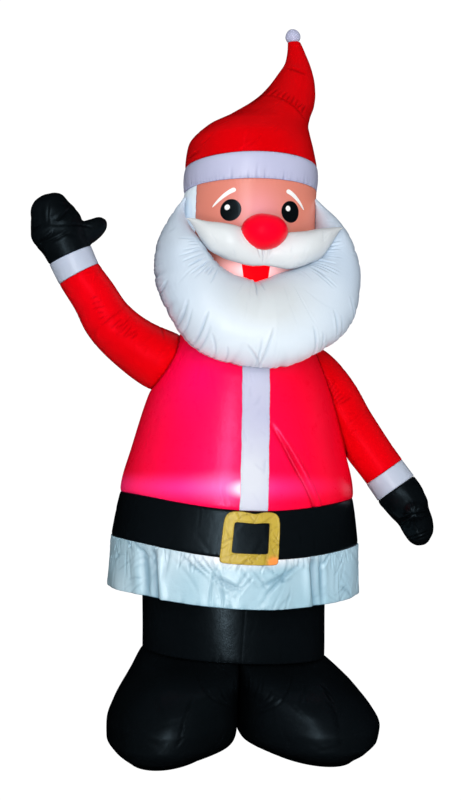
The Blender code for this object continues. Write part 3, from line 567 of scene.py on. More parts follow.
def legs():
    """The one tube for both legs: a straight loft from the boots' ring to the belt's, with a seam
    down the front and the back."""
    angle, share = np.meshgrid(turn(340, 0.3), dense(0, 1, 56))
    x, y = LEG_HALF_WIDTH * np.sin(angle), -LEG_HALF_WIDTH * DEPTH_SHARE * np.cos(angle)
    foot = np.stack([x, y, BOOT_HEIGHT + SEAM_GAP - SEAM_ROLL * x], axis=-1)
    top = torso(angle, LEG_TOP + 0 * share, spread=LEG_HALF_WIDTH / BELLY_HALF_WIDTH) @ TURN_LEFT
    skin = foot * (1 - share[..., None]) + (top - (0, 0, SEAM_GAP)) * share[..., None]
    run, up = angle * LEG_HALF_WIDTH, LEG_LENGTH * share
    centre = np.minimum(np.abs(np.sin(angle / 2)), np.abs(np.cos(angle / 2))) * 2 * LEG_HALF_WIDTH
    relief, crease = creased(
        ((puckers(run, up, LEG_ROUND, 0.024, 0.035, 31), 0.0015, 0.6),
         (scattered(run, up, LEG_ROUND, 0.0, LEG_LENGTH, 36, 0.14, 0.006, (-0.9, 0.9), 32), 0.0008, 0.25)))
    height = (relief + 0.0016 * billow(skin, 0.28, 33) + pinch(up, 0.0014, 0.004)
              + pinch(centre, 0.0006, 0.002))
    sew("legs", lifted(skin, height), "black_satin", crease, np.minimum(up, centre), upper=False)


# Skirt trim, belt and coat

SKIRT_FOLDS = ((0.0105, -0.263, 0.625, -0.253, 0.410, 0.012, 0.004, 1.8),
               (0.0085, -0.300, 0.620, -0.296, 0.420, 0.013, -0.004, -1.2),
               (0.0045, -0.372, 0.630, -0.388, 0.460, 0.010, 0.0, 0.8),
               (0.0110, 0.172, 0.610, 0.184, 0.410, 0.013, 0.003, -1.6),
               (0.0050, 0.205, 0.600, 0.212, 0.420, 0.009, 0.0, 1.0),
               (0.0045, 0.262, 0.600, 0.198, 0.525, 0.0050, 0.003, 0.8),
               (0.0048, 0.145, 0.553, 0.030, 0.462, 0.0060, 0.006, 0.9),
               (0.0030, 0.105, 0.535, 0.018, 0.490, 0.0070, 0.0, -0.8),
               (0.0034, -0.200, 0.590, -0.130, 0.522, 0.0042, 0.004, 0.8),
               (0.0030, -0.170, 0.587, -0.118, 0.526, 0.0038, 0.004, 0.8),
               (0.0026, -0.144, 0.584, -0.104, 0.528, 0.0034, 0.003, 0.8),
               (0.0040, -0.120, 0.530, -0.030, 0.480, 0.0075, 0.005, -0.9),
               (0.0030, -0.322, 0.625, -0.280, 0.565, 0.0040, 0.003, 0.8),
               (0.0030, -0.340, 0.635, -0.313, 0.578, 0.0038, 0.003, 0.8))


def skirt_trim():
    """The white trim, one layer of cloth that hangs free below the belt, with a folded hem a little
    higher in front. Its waves and creases grow from the seam to the hem."""
    angle, share = np.meshgrid(turn(760, 0.35), dense(0, 1, 32, 0.35))
    level = (LEG_TOP - SEAM_GAP - share * SKIRT_DROP
             + share * HEM_RISE * np.maximum(np.cos(angle), 0) ** 3)
    point = torso(angle, level)
    run, down = angle * BELLY_HALF_WIDTH, share * SKIRT_DROP
    away = SKIRT_DROP - down
    settled = np.clip(share * 6, 0.25, 1)
    pressed, line = folded(point, SKIRT_FOLDS, held(3 * np.cos(angle)))
    crushed = scattered(run, down, BODY_ROUND, 0.02, SKIRT_DROP, 130, 0.15, 0.0052, (-1.4, 1.4), 44)
    relief, crease = creased(
        ((puckers(run, down, BODY_ROUND, 0.014, 0.040, 42), 0.0030, 0.7),
         (scattered(run, down, BODY_ROUND, 0.0, 0.03, 150, 0.075, 0.0032, (-0.7, 0.7), 43), 0.0024, 0.5),
         (crushed, 0.0020 * settled, 0.6),
         (puckers(run, away, BODY_ROUND, 0.045, 0.04, 45), 0.002, 0.4)), (settled * pressed, line), 0.9)
    waves = HEM_WAVE * np.sin(HEM_WAVES * angle)
    loose = share * (waves + 0.0030 * billow(point * (1, 1, 0.35), 0.10, 41))
    height = np.clip(loose + relief, -0.016, 0.012)
    fold_over = 0.0006 * bell((share - 0.93) / 0.05)
    outside = torso(angle, level, grow=height + fold_over)
    inside = torso(angle, level, grow=height - CLOTH - fold_over)
    made = sew("skirt_trim", both_sides(outside, inside, 0), "skirt_satin", both_sides(crease, axis=0),
               both_sides(away, axis=0), closed=True)


def belt_relief(angle, level):
    """The belt's cloth: held in by its two seams, with a few puckers off them."""
    run, low, high = angle * BELLY_HALF_WIDTH, level - LEG_TOP, BELT_TOP - level
    tight = (puckers(run, low, BODY_ROUND, 0.020, 0.026, 51)
             + puckers(run, high, BODY_ROUND, 0.024, 0.020, 52))
    fine = scattered(run, low, BODY_ROUND, 0.01, 0.12, 40, 0.10, 0.006, (-1.2, 1.2), 54)
    height, crease = creased(((tight, 0.0012, 0.6), (fine, 0.0007, 0.2)))
    return height + pinch(low) + pinch(high) + 0.0012 * billow(torso(angle, level), 0.3, 53), crease


def belt():
    """The black belt, the lowest panel of the upper body."""
    angle, level = np.meshgrid(turn(520, 0.35), dense(LEG_TOP + SEAM_GAP, BELT_TOP - SEAM_GAP, 30))
    height, crease = belt_relief(angle, level)
    sew("belt", torso(angle, level, grow=height), "black_satin", crease,
        np.minimum(level - LEG_TOP, BELT_TOP - level))


class Arm:
    """A sleeve's path from inside the coat, through points (x, y, z, radius), to the cuff's end."""

    def __init__(self, *points):
        points = np.asarray(points, float)
        steps = np.linalg.norm(np.diff(points[:, :3], axis=0), axis=1)
        run = np.concatenate([[0], np.cumsum(steps)])
        self.columns = [np.stack([run, column], axis=-1) for column in points.T]
        self.wrist = run[-1]
        self.length = self.wrist - CUFF_LENGTH

    def at(self, run):
        """Middles and radii at distances along the arm, and its directions there: along the arm,
        across it towards the head or the belly, and through it towards the back. Past the wrist it
        goes straight on."""
        run = np.asarray(run, float)
        inside = np.clip(run, 0, self.wrist)
        x, y, z, radius = (smooth(inside, column) for column in self.columns)
        low, high = np.maximum(inside - 0.004, 0), np.minimum(inside + 0.004, self.wrist)
        along = unit(np.stack([smooth(high, c) - smooth(low, c) for c in self.columns[:3]], -1))
        through = unit(np.array([0, 1, 0]) - along[..., 1:2] * along)
        middle = np.stack([x, y, z], -1) + (run - inside)[..., None] * along
        return middle, radius, (along, np.cross(through, along), through)

    def tube(self, run, angle, half_across, half_through, shift=0.0):
        """Oval sections at distances along the arm, each turned square to it."""
        middle, _, (_, across, through) = self.at(run)
        wide = (shift + half_across * np.cos(angle))[..., None]
        deep = (half_through * np.sin(angle))[..., None]
        return middle[..., None, :] + wide * across[..., None, :] + deep * through[..., None, :]


# The waving arm, from inside the coat round the elbow to the wrist, and the hanging one
RIGHT_ARM = Arm((-0.10, 0.025, NECK - 0.128, 0.094), (-0.213, 0.02, NECK - 0.092, 0.092),
                (-0.300, 0.01, NECK - 0.041, 0.0815), (-0.3756, 0, NECK + 0.025, 0.0745),
                (-0.419, 0, NECK + 0.094, 0.0675), (-0.462, 0, NECK + 0.161, SLEEVE_END_RADIUS),
                (-0.488, 0, NECK + 0.216, 0.067))
LEFT_ARM = Arm((0.135, 0.01, NECK - 0.098, 0.074), (0.208, 0.01, NECK - 0.106, 0.0755),
               (0.264, 0, NECK - 0.141, 0.0755), (0.359, -0.015, NECK - 0.282, 0.072),
               (0.456, -0.045, NECK - 0.425, SLEEVE_END_RADIUS), (0.489, -0.057, NECK - 0.474, 0.0665))


def off_arm(points, arm):
    """How far points are off an arm's round surface, and the way round it, from 48 places along it:
    the least of distance to the middle less the radius."""
    middle, radius, (_, across, through) = arm.at(np.linspace(0, arm.length, 48))
    gap = np.full(points.shape[:-1], np.inf)
    bearing = np.zeros(points.shape[:-1])
    for m, r, a, t in zip(middle, radius, across, through):
        apart = points - m
        distance = np.linalg.norm(apart, axis=-1) - r
        nearer = distance < gap
        gap = np.where(nearer, distance, gap)
        bearing = np.where(nearer, np.arctan2(apart @ t, apart @ a), bearing)
    return gap, bearing


def off_coat(points):
    """How far points are outside the coat, in metres along its half width. The level of each is
    found from its height by undoing the dip and the roll, three times over."""
    x, y, z = np.moveaxis(points, -1, 0)
    level = z
    for _ in range(3):
        level = np.clip(level, LEG_TOP, NECK)
        half = torso_half_width(level)
        across = x - sway(level)
        angle = np.arctan2(across / half, -y / (half * DEPTH_SHARE))
        level = level + z - torso(angle, level)[..., 2]
    return (np.hypot(across / half, y / (half * DEPTH_SHARE)) - 1) * half


# One long crease beside the placket, and a broad shallow one
COAT_FOLDS = ((0.0095, 0.060, 0.950, 0.220, 0.640, 0.0080, -0.010, 1.2),
              (0.0020, 0.095, 0.900, 0.150, 0.780, 0.0130, 0.0, -0.6))


def coat_relief(angle, level):
    """The coat's cloth: full just above the belt, and held in by its seams and by the sleeves. The
    third array is the way over the line where a sleeve is sewn on."""
    point = torso(angle, level)
    run, low, join = angle * BELLY_HALF_WIDTH, level - BELT_TOP, np.full(angle.shape, 1.0)
    fine = scattered(run, low, BODY_ROUND, 0.02, COAT_HEIGHT, 60, 0.16, 0.006, (-0.5, 0.5), 66)
    height, crease = creased(((puckers(run, low, BODY_ROUND, 0.028, 0.030, 61), 0.0009, 0.36),
                              (fine, 0.0006, 0.12)))
    height += (0.0045 * bell((low - 0.045) / 0.055) + pinch(low, 0.0045, 0.007)
               + 0.0014 * billow(point, 0.34, 62))
    for arm, seed in ((RIGHT_ARM, 63), (LEFT_ARM, 64)):
        gap, bearing = off_arm(point, arm)
        pucker = puckers(bearing * SLEEVE_ROOT_RADIUS, gap, 2 * math.pi * SLEEVE_ROOT_RADIUS, 0.018, 0.030,
                         seed) * (gap > 0)
        height = height + pinch(gap) - 0.0015 * pucker
        crease = np.maximum(crease, 0.5 * pucker)
        join = np.minimum(join, gap)
    behind = np.abs(angle - math.pi) * torso_half_width(level)
    pressed, line = folded(point, COAT_FOLDS, held(3 * np.cos(angle)))
    return height + pinch(behind, 0.002, 0.004) + pressed, np.maximum(crease, 0.9 * line), join


def coat():
    """The red coat, with a seam down the back."""
    angle, level = np.meshgrid(turn(500, 0.3), dense(BELT_TOP + SEAM_GAP, NECK - SEAM_GAP, 108))
    height, crease, join = coat_relief(angle, level)
    seam = np.minimum(level - BELT_TOP, np.abs(angle - math.pi) * torso_half_width(level))
    sew("coat", torso(angle, level, grow=height), "coat_satin", crease, seam, join)


def placket():
    """The white strip down the front of the coat, hemmed on both sides, that follows its cloth."""
    share, level = np.meshgrid(dense(-1, 1, 32, 0.5),
                               np.linspace(BELT_TOP + 2 * SEAM_GAP, NECK - 0.045, 140))
    half = torso_half_width(level)
    down = (level[-1] - level) / (level[-1] - level[0])
    middle = (PLACKET_SHIFT + (BUCKLE_SHIFT / 2 - PLACKET_SHIFT) * down) / half
    edge = 1 + 0.012 * np.sin(level * 61) + 0.008 * np.sin(level * 143)
    angle = middle + share * edge * PLACKET_WIDTH / 2 / half
    away = (1 - np.abs(share)) * PLACKET_WIDTH / 2
    fine = scattered(share * PLACKET_WIDTH / 2, level, 1.0, BELT_TOP, NECK, 160, 0.05, 0.005,
                     (-1.5, 1.5), 72)
    relief, crease = creased(((puckers(level, away, COAT_HEIGHT, 0.014, 0.014, 71), 0.0010, 0.5),
                              (fine, 0.0008, 0.3)))
    cloth, _, _ = coat_relief(angle, level)
    low = torso(angle, level, grow=cloth + 0.0006)
    high = torso(angle, level, grow=cloth + relief + 0.0026 + 0.0009 * bell((np.abs(share) - 0.93) / 0.05))
    sew("placket", both_sides(low, high), "placket_satin", both_sides(crease), both_sides(away))


def buckle():
    """The gold frame on the belt, bent to the belly: its window and its lower corners are nearly
    square, its upper corners round, |x|^n + |z|^n = 1 with n larger for a squarer corner."""
    middle = (LEG_TOP + BELT_TOP) / 2 - 0.008
    half = float(torso_half_width(middle))
    around, share = np.meshgrid(turn(300), dense(0, 1, 20, 0.4))
    c, s = np.cos(around), np.sin(around)

    def frame_line(border, square_top, square_low):
        """A rounded rectangle inside the border, with one n for its upper and one for its lower half."""
        power = np.where(s > 0, square_top, square_low)
        reach = (np.abs(c) ** power + np.abs(s) ** power) ** (-1 / power)
        return (BUCKLE_WIDTH / 2 - border) * reach * c, (BUCKLE_HEIGHT / 2 - border) * reach * s

    outer, inner = frame_line(0, 5.5, 16), frame_line(BUCKLE_BORDER, 18, 18)
    x, z = (i + share * (o - i) for i, o in zip(inner, outer))
    dip = -0.0055 * bell((x - 0.005) / 0.022) * held(z / BUCKLE_HEIGHT * 2) ** 2
    run = around / (2 * math.pi) * BUCKLE_ROUND
    away = np.minimum(share, 1 - share) * BUCKLE_BORDER
    crushed = scattered(x, z, 1.0, -0.09, 0.09, 420, 0.055, 0.0032, (-1.2, 1.2), 82)
    relief, crease = creased(((puckers(run, away, BUCKLE_ROUND, 0.016, 0.013, 81), 0.0012, 0.4),
                              (crushed, 0, 0.5), (np.clip(crushed, -1.5, 1.5), 0.0010, 0)))
    across, level = BUCKLE_SHIFT + x + BUCKLE_LEAN * z, middle + z + dip
    belt_cloth, _ = belt_relief(across / half, level)
    coat_cloth, _, _ = coat_relief(across / half, np.maximum(level, BELT_TOP))
    base = np.maximum(np.where(level > BELT_TOP, coat_cloth, belt_cloth), -0.002)
    hem = 0.0012 * (bell((share - 0.08) / 0.07) + bell((share - 0.92) / 0.07))
    front = torso(across / half, level, grow=base + relief + 0.0042 + hem)
    back = torso(across / half, level, grow=base + 0.0012)
    sew("buckle", both_sides(front, back, 0), "gold_satin", both_sides(crease, axis=0),
        both_sides(away, axis=0), closed=True)


# Arms

RIGHT_SLEEVE_FOLDS = ((0.0026, -0.415, 1.225, -0.335, 1.285, 0.0034, 0.003, 0.8),
                      (0.0016, -0.360, 1.215, -0.315, 1.262, 0.0034, 0.002, 0.8),
                      *ladder((-0.425, 1.320), (-0.395, 1.245), 5, 0.036, 0.30, 0.0034, 0.0007, 166),
                      *ladder((-0.365, 1.240), (-0.300, 1.195), 6, 0.050, 0.70, 0.0036, 0.0007, 165),
                      (0.0014, -0.215, 1.290, -0.215, 1.190, 0.0050, 0.004, 0.8))
LEFT_SLEEVE_FOLDS = (*ladder((0.262, 1.070), (0.312, 1.010), 7, 0.060, 0.95, 0.0036, 0.0012, 175),
                     (0.0012, 0.300, 1.000, 0.350, 1.030, 0.0040, 0.002, 0.8))


def sleeve(name, arm, folds, seed):
    """A red sleeve, held in where it is sewn to the coat and to the cuff, with fine wrinkles across
    it and the creases given in the front view."""
    angle, run = np.meshgrid(turn(130, 0.2, -math.pi / 2), dense(0.02, arm.length, 140, 0.3))
    radius = arm.at(run[:, 0])[1][:, None]
    skin = arm.tube(run[:, 0], angle[0], radius, radius)
    gap, away, once = off_coat(skin), arm.length - run, 2 * math.pi
    root = (puckers(angle, gap, once, 0.20, 0.040, seed)
            + 0.8 * puckers(angle, gap, once, 0.6, 0.08, seed + 1))
    fine = scattered(angle * SLEEVE_MEAN_RADIUS, run, once * SLEEVE_MEAN_RADIUS, 0.03, arm.length, 60,
                     0.10, 0.0042, (0.9, 2.2), seed + 4)
    relief, crease = creased(
        ((root, 0.0024, 0.5), (puckers(angle, away, once, 0.24, 0.022, seed + 2), 0.0010, 0.4),
         (fine, 0.0007, 0.25)), folded(skin, folds, held(-3 * np.sin(angle))), 0.8)
    height = relief + pinch(gap) + pinch(away, 0.0010, 0.003) + 0.0014 * billow(skin, 0.16, seed + 3)
    sew(name, lifted(skin, height), "red_satin", crease, away, gap)


def cuff(name, arm, seed):
    """A white cuff between sleeve and mitten, with a hem at the mitten."""
    angle, share = np.meshgrid(turn(150), dense(0, 1, 24, 0.5))
    run = arm.length + SEAM_GAP + share[:, 0] * (CUFF_LENGTH - SEAM_GAP)
    radius = arm.at(run)[1][:, None]
    low, high, once = share * CUFF_LENGTH, (1 - share) * CUFF_LENGTH, 2 * math.pi
    tight = (puckers(angle, low, once, 0.20, 0.018, seed)
             + puckers(angle, high, once, 0.18, 0.022, seed + 1))
    relief, crease = creased(((tight, 0.0010, 0.5),))
    height = (relief + pinch(low, 0.0008, 0.002) + pinch(high, 0.0008, 0.002)
              + 0.0007 * bell((high - 0.003) / 0.002))
    sew(name, lifted(arm.tube(run, angle[0], radius, radius), height), "cuff_satin", crease,
        np.minimum(low, high))


def mitten_lobe(arm, sections, rows=80, steps=110):
    """The body of a mitten from its sections: run, sideways shift, half width, half depth, all as
    shares of its length."""
    sections = np.asarray(sections, float) * MITTEN_LENGTH
    run = sections[-1, 0] * np.sin(np.linspace(0, 1, rows) * math.pi / 2)
    shift, wide, deep = (smooth(run, sections[:, (0, k)])[:, None] for k in (1, 2, 3))
    return arm.tube(arm.wrist + SEAM_GAP + run, turn(steps), wide, deep, shift)


def mitten_thumb(arm, points, rows=44, steps=56):
    """A mitten's thumb: round sections along points (run, sideways shift, depth shift, radius),
    all as shares of the mitten's length."""
    points = np.asarray(points, float) * MITTEN_LENGTH
    share = np.linspace(0, 1, len(points))
    t = 1 - (1 - np.linspace(0, 1, rows)) ** 1.5
    run, shift, depth, radius = (smooth(t, np.stack([share, column], -1)) for column in points.T)
    middle, _, axes = arm.at(arm.wrist + run)
    centre = middle + shift[:, None] * axes[1] + depth[:, None] * axes[2]
    heading = unit(np.gradient(centre, axis=0))
    first = unit(np.cross(heading, axes[0]))
    second = np.cross(heading, first)
    c, s = np.cos(turn(steps))[None, :, None], np.sin(turn(steps))[None, :, None]
    return centre[:, None] + radius[:, None, None] * (c * first[:, None] + s * second[:, None])


def blended(name, skins, voxel):
    """One closed mesh from lobes that run into each other: joined, remeshed in small cells and
    smoothed, so that their crease is a rounded one."""
    work = bmesh.new()
    for skin in skins:
        points, fans = fanned(skin)
        mesh = filled(name + "_lobe", points, grid_faces(*skin.shape[:2])[0], fans)
        work.from_mesh(mesh)
        bpy.data.meshes.remove(mesh)
    mesh = bpy.data.meshes.new(name)
    work.to_mesh(mesh)
    work.free()
    holder = bpy.data.objects.new(name + "_work", mesh)
    bpy.context.scene.collection.objects.link(holder)
    cells = holder.modifiers.new("cells", "REMESH")
    cells.mode, cells.voxel_size, cells.use_smooth_shade = "VOXEL", voxel, True
    soft = holder.modifiers.new("soft", "SMOOTH")
    soft.factor, soft.iterations = 0.5, 5
    bpy.context.view_layer.update()
    graph = bpy.context.evaluated_depsgraph_get()
    made = bpy.data.meshes.new_from_object(holder.evaluated_get(graph), depsgraph=graph)
    bpy.data.objects.remove(holder, do_unlink=True)
    bpy.data.meshes.remove(mesh)
    made.name = name
    made.shade_smooth()
    return made


def mitten(name, arm, sections, thumb, folds, seed):
    """A black mitten: lobe and thumb blended, pinched at the cuff and crumpled, with the creases
    given in a flat view of the hand, (across, up) from its wrist, on the side that faces forward."""
    mesh = blended(name, [mitten_lobe(arm, sections), mitten_thumb(arm, thumb)], 0.0036)
    count = len(mesh.vertices)
    points, out = np.zeros(count * 3, np.float32), np.zeros(count * 3, np.float32)
    mesh.vertices.foreach_get("co", points)
    mesh.vertices.foreach_get("normal", out)
    points, out = points.reshape(-1, 3).astype(float), out.reshape(-1, 3).astype(float)
    middle, _, (along, across, through) = arm.at(np.array([arm.wrist]))
    apart = points - middle[0]
    up, side, back = apart @ along[0], apart @ across[0], apart @ through[0]
    bearing = np.arctan2(back, side)
    crushed = scattered(bearing * MITTEN_MEAN_RADIUS, up, 2 * math.pi * MITTEN_MEAN_RADIUS, 0.01,
                        MITTEN_LENGTH, 34, 0.085, 0.0062, (-1.6, 1.6), seed + 1)
    relief, crease = creased(
        ((puckers(bearing, up, 2 * math.pi, 0.26, 0.040, seed), 0.0016, 0.6), (crushed, 0, 0.4),
         (np.clip(crushed, -1.5, 1.5), 0.0013, 0)),
        folded(np.stack([side, back, up], -1), folds, held(-back / 0.02)))
    height = (relief + pinch(up, 0.0015, 0.003) + 0.0018 * billow(points, 0.07, seed + 2))
    points = turned_up(points + out * (height * held((up - 0.001) / 0.004))[:, None])
    mesh.vertices.foreach_set("co", points.astype(np.float32).ravel())
    mesh.update()
    for mark, values in (("crease", crease), ("seam", np.abs(up)), ("join", np.full(count, 1.0))):
        keep_mark(mesh, mark, values)
    corner = np.zeros(len(mesh.loops), np.int32)
    mesh.loops.foreach_get("vertex_index", corner)
    flat = np.stack([side + back, up], -1)[corner]
    mesh.uv_layers.new(name="cloth").uv.foreach_set("vector", flat.astype(np.float32).ravel())
    dressed(name, mesh, "dull_black_satin")


# The mittens' creases, in the flat view of the hand
RIGHT_MITTEN_FOLDS = ((0.0050, -0.078, 0.072, -0.020, 0.078, 0.0050, 0.006, 0.8),
                      (0.0026, -0.070, 0.060, 0.030, 0.062, 0.0042, 0.006, 0.8),
                      (0.0026, 0.020, 0.075, 0.090, 0.045, 0.0042, -0.006, -0.8),
                      (0.0050, -0.082, 0.118, -0.045, 0.112, 0.0050, 0.003, 0.8),
                      (0.0030, 0.000, 0.105, 0.062, 0.128, 0.0046, 0.004, 0.8))
LEFT_MITTEN_FOLDS = ((0.0056, 0.016, 0.095, 0.078, 0.088, 0.0044, 0.003, 0.7),
                     (0.0056, 0.022, 0.095, -0.026, 0.111, 0.0044, 0.003, -0.7),
                     (0.0044, 0.020, 0.092, 0.032, 0.148, 0.0042, 0.003, 0.7),
                     (0.0040, 0.060, 0.144, 0.002, 0.160, 0.0036, 0.002, 0.7),
                     (0.0034, 0.056, 0.154, 0.006, 0.169, 0.0034, 0.002, 0.7),
                     *fan((0.020, 0.095), 0.006, 0.050, 0.2, 6.0, 11, 0.0034, 0.0022, 215))


# Head and face

def on_head(angle, level, grow):
    """Points above the head's cloth, which is taut and only slightly uneven."""
    return head(angle, level, 0.0009 * billow(head(angle, level), 0.2, 91) + grow)


def head_piece():
    """The white bag of the head, which shows at the temples and behind, seamed down the back."""
    angle, level = np.meshgrid(turn(220), dense(NECK + SEAM_GAP, BROW - SEAM_GAP / 2, 52))
    low, high, run = level - NECK, BROW - level, angle * HEAD_HALF_WIDTH
    tight = (puckers(run, low, HEAD_ROUND, 0.022, 0.05, 92)
             + puckers(run, high, HEAD_ROUND, 0.018, 0.035, 93))
    fine = scattered(run, low, HEAD_ROUND, 0.02, HEAD_HEIGHT, 60, 0.11, 0.005, (-0.8, 0.8), 94)
    back = np.abs(angle - math.pi) * HEAD_HALF_WIDTH
    relief, crease = creased(((tight, 0.0024, 0.6), (fine, 0.0010, 0.25)))
    shown = 1 - held(np.cos(angle) * 4 - 1.0)
    height = shown * (relief + pinch(low) + pinch(high) + pinch(back, 0.002, 0.004))
    sew("head", on_head(angle, level, height), "white_satin", crease,
        np.minimum(np.minimum(low, high), back))


def face():
    """The skin-coloured panel across the front of the head, sewn down at both sides."""
    angle, level = np.meshgrid(dense(FACE_RIGHT_ANGLE, FACE_LEFT_ANGLE, 130, 0.3),
                               dense(NECK + 0.10, BROW - SEAM_GAP, 76, 0.3))
    away = np.minimum(angle - FACE_RIGHT_ANGLE, FACE_LEFT_ANGLE - angle) * HEAD_HALF_WIDTH
    top = BROW - level
    under_band = puckers(angle * HEAD_HALF_WIDTH + 0.4, top, 0.8, 0.014, 0.022, 94)
    relief, crease = creased(((under_band, 0.0010, 0.4),
                              (puckers(level, away, 0.5, 0.024, 0.045, 95), 0.0012, 0.5)))
    skin = both_sides(on_head(angle, level, 0.0003), on_head(angle, level, FACE_LIFT + relief))
    sew("face", skin, "skin_satin", both_sides(crease), both_sides(np.minimum(away, top)))


def mouth():
    """The red lower lip between moustache and beard, a tapering patch."""
    top, bottom = BROW - NOSE_DROP - 0.075, BROW - NOSE_DROP - 0.148
    share, level = np.meshgrid(np.linspace(-1, 1, 40), np.linspace(bottom, top, 40))
    reach = (0.043 - 0.010 * (top - level) / (top - bottom)) / HEAD_HALF_WIDTH
    angle = (FACE_MIDDLE - 0.012 - sway(level)) / HEAD_HALF_WIDTH + reach * share
    skin = both_sides(on_head(angle, level, FACE_LIFT + 0.0001), on_head(angle, level, FACE_LIFT + 0.0012))
    sew("mouth", skin, "lip_satin", seam=both_sides((1 - np.abs(share)) * 0.04))


def disc(name, angle, level, radius, lift, finish, steps=72, rows=14):
    """A patch on the face, a little wider than tall and a little domed: height goes as 1 - r^8, so it
    has a soft rim."""
    around, share = np.meshgrid(turn(steps), np.sin(np.linspace(0, 1, rows) * math.pi / 2)[::-1])
    a = angle + share * radius * EYE_WIDENING * np.cos(around) / HEAD_HALF_WIDTH
    b = level + share * radius * np.sin(around)
    top = on_head(a, b, lift + 0.0011 * (1 - 0.6 * share ** 8))
    sew(name, np.concatenate([on_head(a, b, lift)[::-1], top]), finish)


def brow(name, side):
    """A brow: an arc, thick and round at its inner end and pointed at its outer end."""
    stations = np.concatenate([np.linspace(0.004, 0.12, 12)[:-1], np.linspace(0.12, 0.995, 50)])
    t, share = np.meshgrid(np.linspace(-1, 1, 13), stations)
    half = 0.0062 * np.sqrt(held(1 - (1 - np.minimum(share / 0.12, 1)) ** 2)) * (1 - share) ** 0.5
    a = (0.375 + 0.36 * share) * side + side * t * half * (0.35 + 0.55 * share) / HEAD_HALF_WIDTH
    b = BROW - 0.029 - 0.043 * share ** 1.5 + t * half
    sew(name, both_sides(on_head(a, b, FACE_LIFT), on_head(a, b, FACE_LIFT + 0.0010)), "white_paint")


def eyes():
    """On each side a black eye patch, its white glint, and the white brow above."""
    level = BROW - EYE_DROP
    for name, side in (("right", -1), ("left", 1)):
        angle = side * EYE_ANGLE + 0.01
        disc(name + "_eye", angle, level, EYE_RADIUS, FACE_LIFT, "black_satin")
        disc(name + "_eye_glint", angle - 0.05, level + 0.008, GLINT_RADIUS, FACE_LIFT + 0.0009,
             "white_paint", 36, 8)
        brow(name + "_brow", side)


# Beard, moustache and nose

def beard_skin(bend, around):
    """Points of the beard: a pillow round the mouth. bend runs from his right temple under the chin
    to his left temple, 0 at the chin; around runs round its section, 0 at the outer seam. Its mouth
    edge lies on the head."""
    turned = np.abs(bend)
    down = BROW - BEARD_CENTRE_DROP
    inner = smooth(bend, BEARD_MOUTH)
    outer = BEARD_RADIUS * smooth(turned, ((0, 1), (0.45, 1.008), (0.85, 0.968), (1.22, 0.902),
                                           (1.57, 0.839), (1.9, 0.772), (2.1, 0.745), (2.3, 0.734)))
    outer = outer + 0.0030 * np.sin(9 * bend + 1) * held(1.7 - turned)
    puff = BEARD_PUFF * smooth(turned, ((0, 1), (1, 1.0), (1.6, 0.94), (1.9, 0.62), (2.1, 0.28),
                                        (2.3, 0.05)))
    hollow = BEARD_PUFF * smooth(turned, ((0, 0.6), (1.6, 0.72), (2, 0.5), (2.3, 0.16)))
    outer_y = -smooth(turned, ((0, 0.226), (0.9, 0.18), (1.5, 0.10), (2.3, 0.045)))
    heading = bend + BEARD_TILT * np.cos(bend / 2)
    sideways = np.clip(inner * np.sin(heading) / HEAD_HALF_WIDTH, -1, 1)
    inner_y = -HEAD_HALF_WIDTH * HEAD_DEPTH_SHARE * np.sqrt(1 - 0.97 * sideways ** 2)
    out, swell = np.cos(around), np.sin(around)
    radius = (inner + outer) / 2 + (outer - inner) / 2 * np.sign(out) * np.abs(out) ** 0.85
    y = (-HEAD_FORWARD + inner_y + (outer_y - inner_y) * (1 + out) / 2
         - np.where(swell > 0, puff, hollow) * swell)
    return np.stack([sway(down) + radius * np.sin(heading), y, down - radius * np.cos(heading)], axis=-1)


# Gathers at both corners of the mouth, then folds along the rim from his right to his left, and the
# short ones under the lip
BEARD_FOLDS = (*fan((-0.045, 1.455), 0.085, 0.170, 3.05, 4.15, 15, 0.0028, 0.0034, 107),
               *fan((0.110, 1.437), 0.075, 0.175, -0.80, 0.30, 14, 0.0028, 0.0034, 108),
               (0.0034, -0.268, 1.290, -0.230, 1.348, 0.0038, 0.003, 0.8),
               (0.0046, -0.225, 1.165, -0.182, 1.290, 0.0042, 0.004, 0.9),
               (0.0030, -0.205, 1.150, -0.172, 1.262, 0.0034, 0.004, 0.9),
               (0.0056, -0.175, 1.125, -0.128, 1.255, 0.0046, 0.004, -0.9),
               (0.0034, -0.158, 1.118, -0.120, 1.215, 0.0034, 0.004, -0.9),
               (0.0034, -0.100, 1.115, -0.118, 1.195, 0.0036, 0.004, 0.9),
               (0.0024, -0.072, 1.105, -0.075, 1.160, 0.0034, 0.004, 0.9),
               (0.0042, 0.018, 1.080, 0.053, 1.210, 0.0042, -0.003, 0.8),
               (0.0030, 0.014, 1.080, 0.020, 1.180, 0.0034, -0.003, 0.8),
               (0.0036, 0.040, 1.080, -0.020, 1.162, 0.0038, 0.003, -0.8),
               (0.0044, 0.188, 1.115, 0.166, 1.220, 0.0040, 0.003, -0.8),
               (0.0030, 0.206, 1.125, 0.196, 1.205, 0.0034, 0.003, -0.8),
               (0.0048, 0.252, 1.160, 0.228, 1.262, 0.0040, 0.003, 0.8),
               (0.0030, 0.266, 1.172, 0.252, 1.250, 0.0034, 0.003, 0.8),
               (0.0040, 0.305, 1.225, 0.283, 1.305, 0.0040, 0.003, 0.8),
               (0.0056, 0.022, 1.366, 0.010, 1.298, 0.0042, 0.002, -0.6),
               (0.0030, 0.030, 1.360, 0.034, 1.312, 0.0034, 0.002, -0.6))


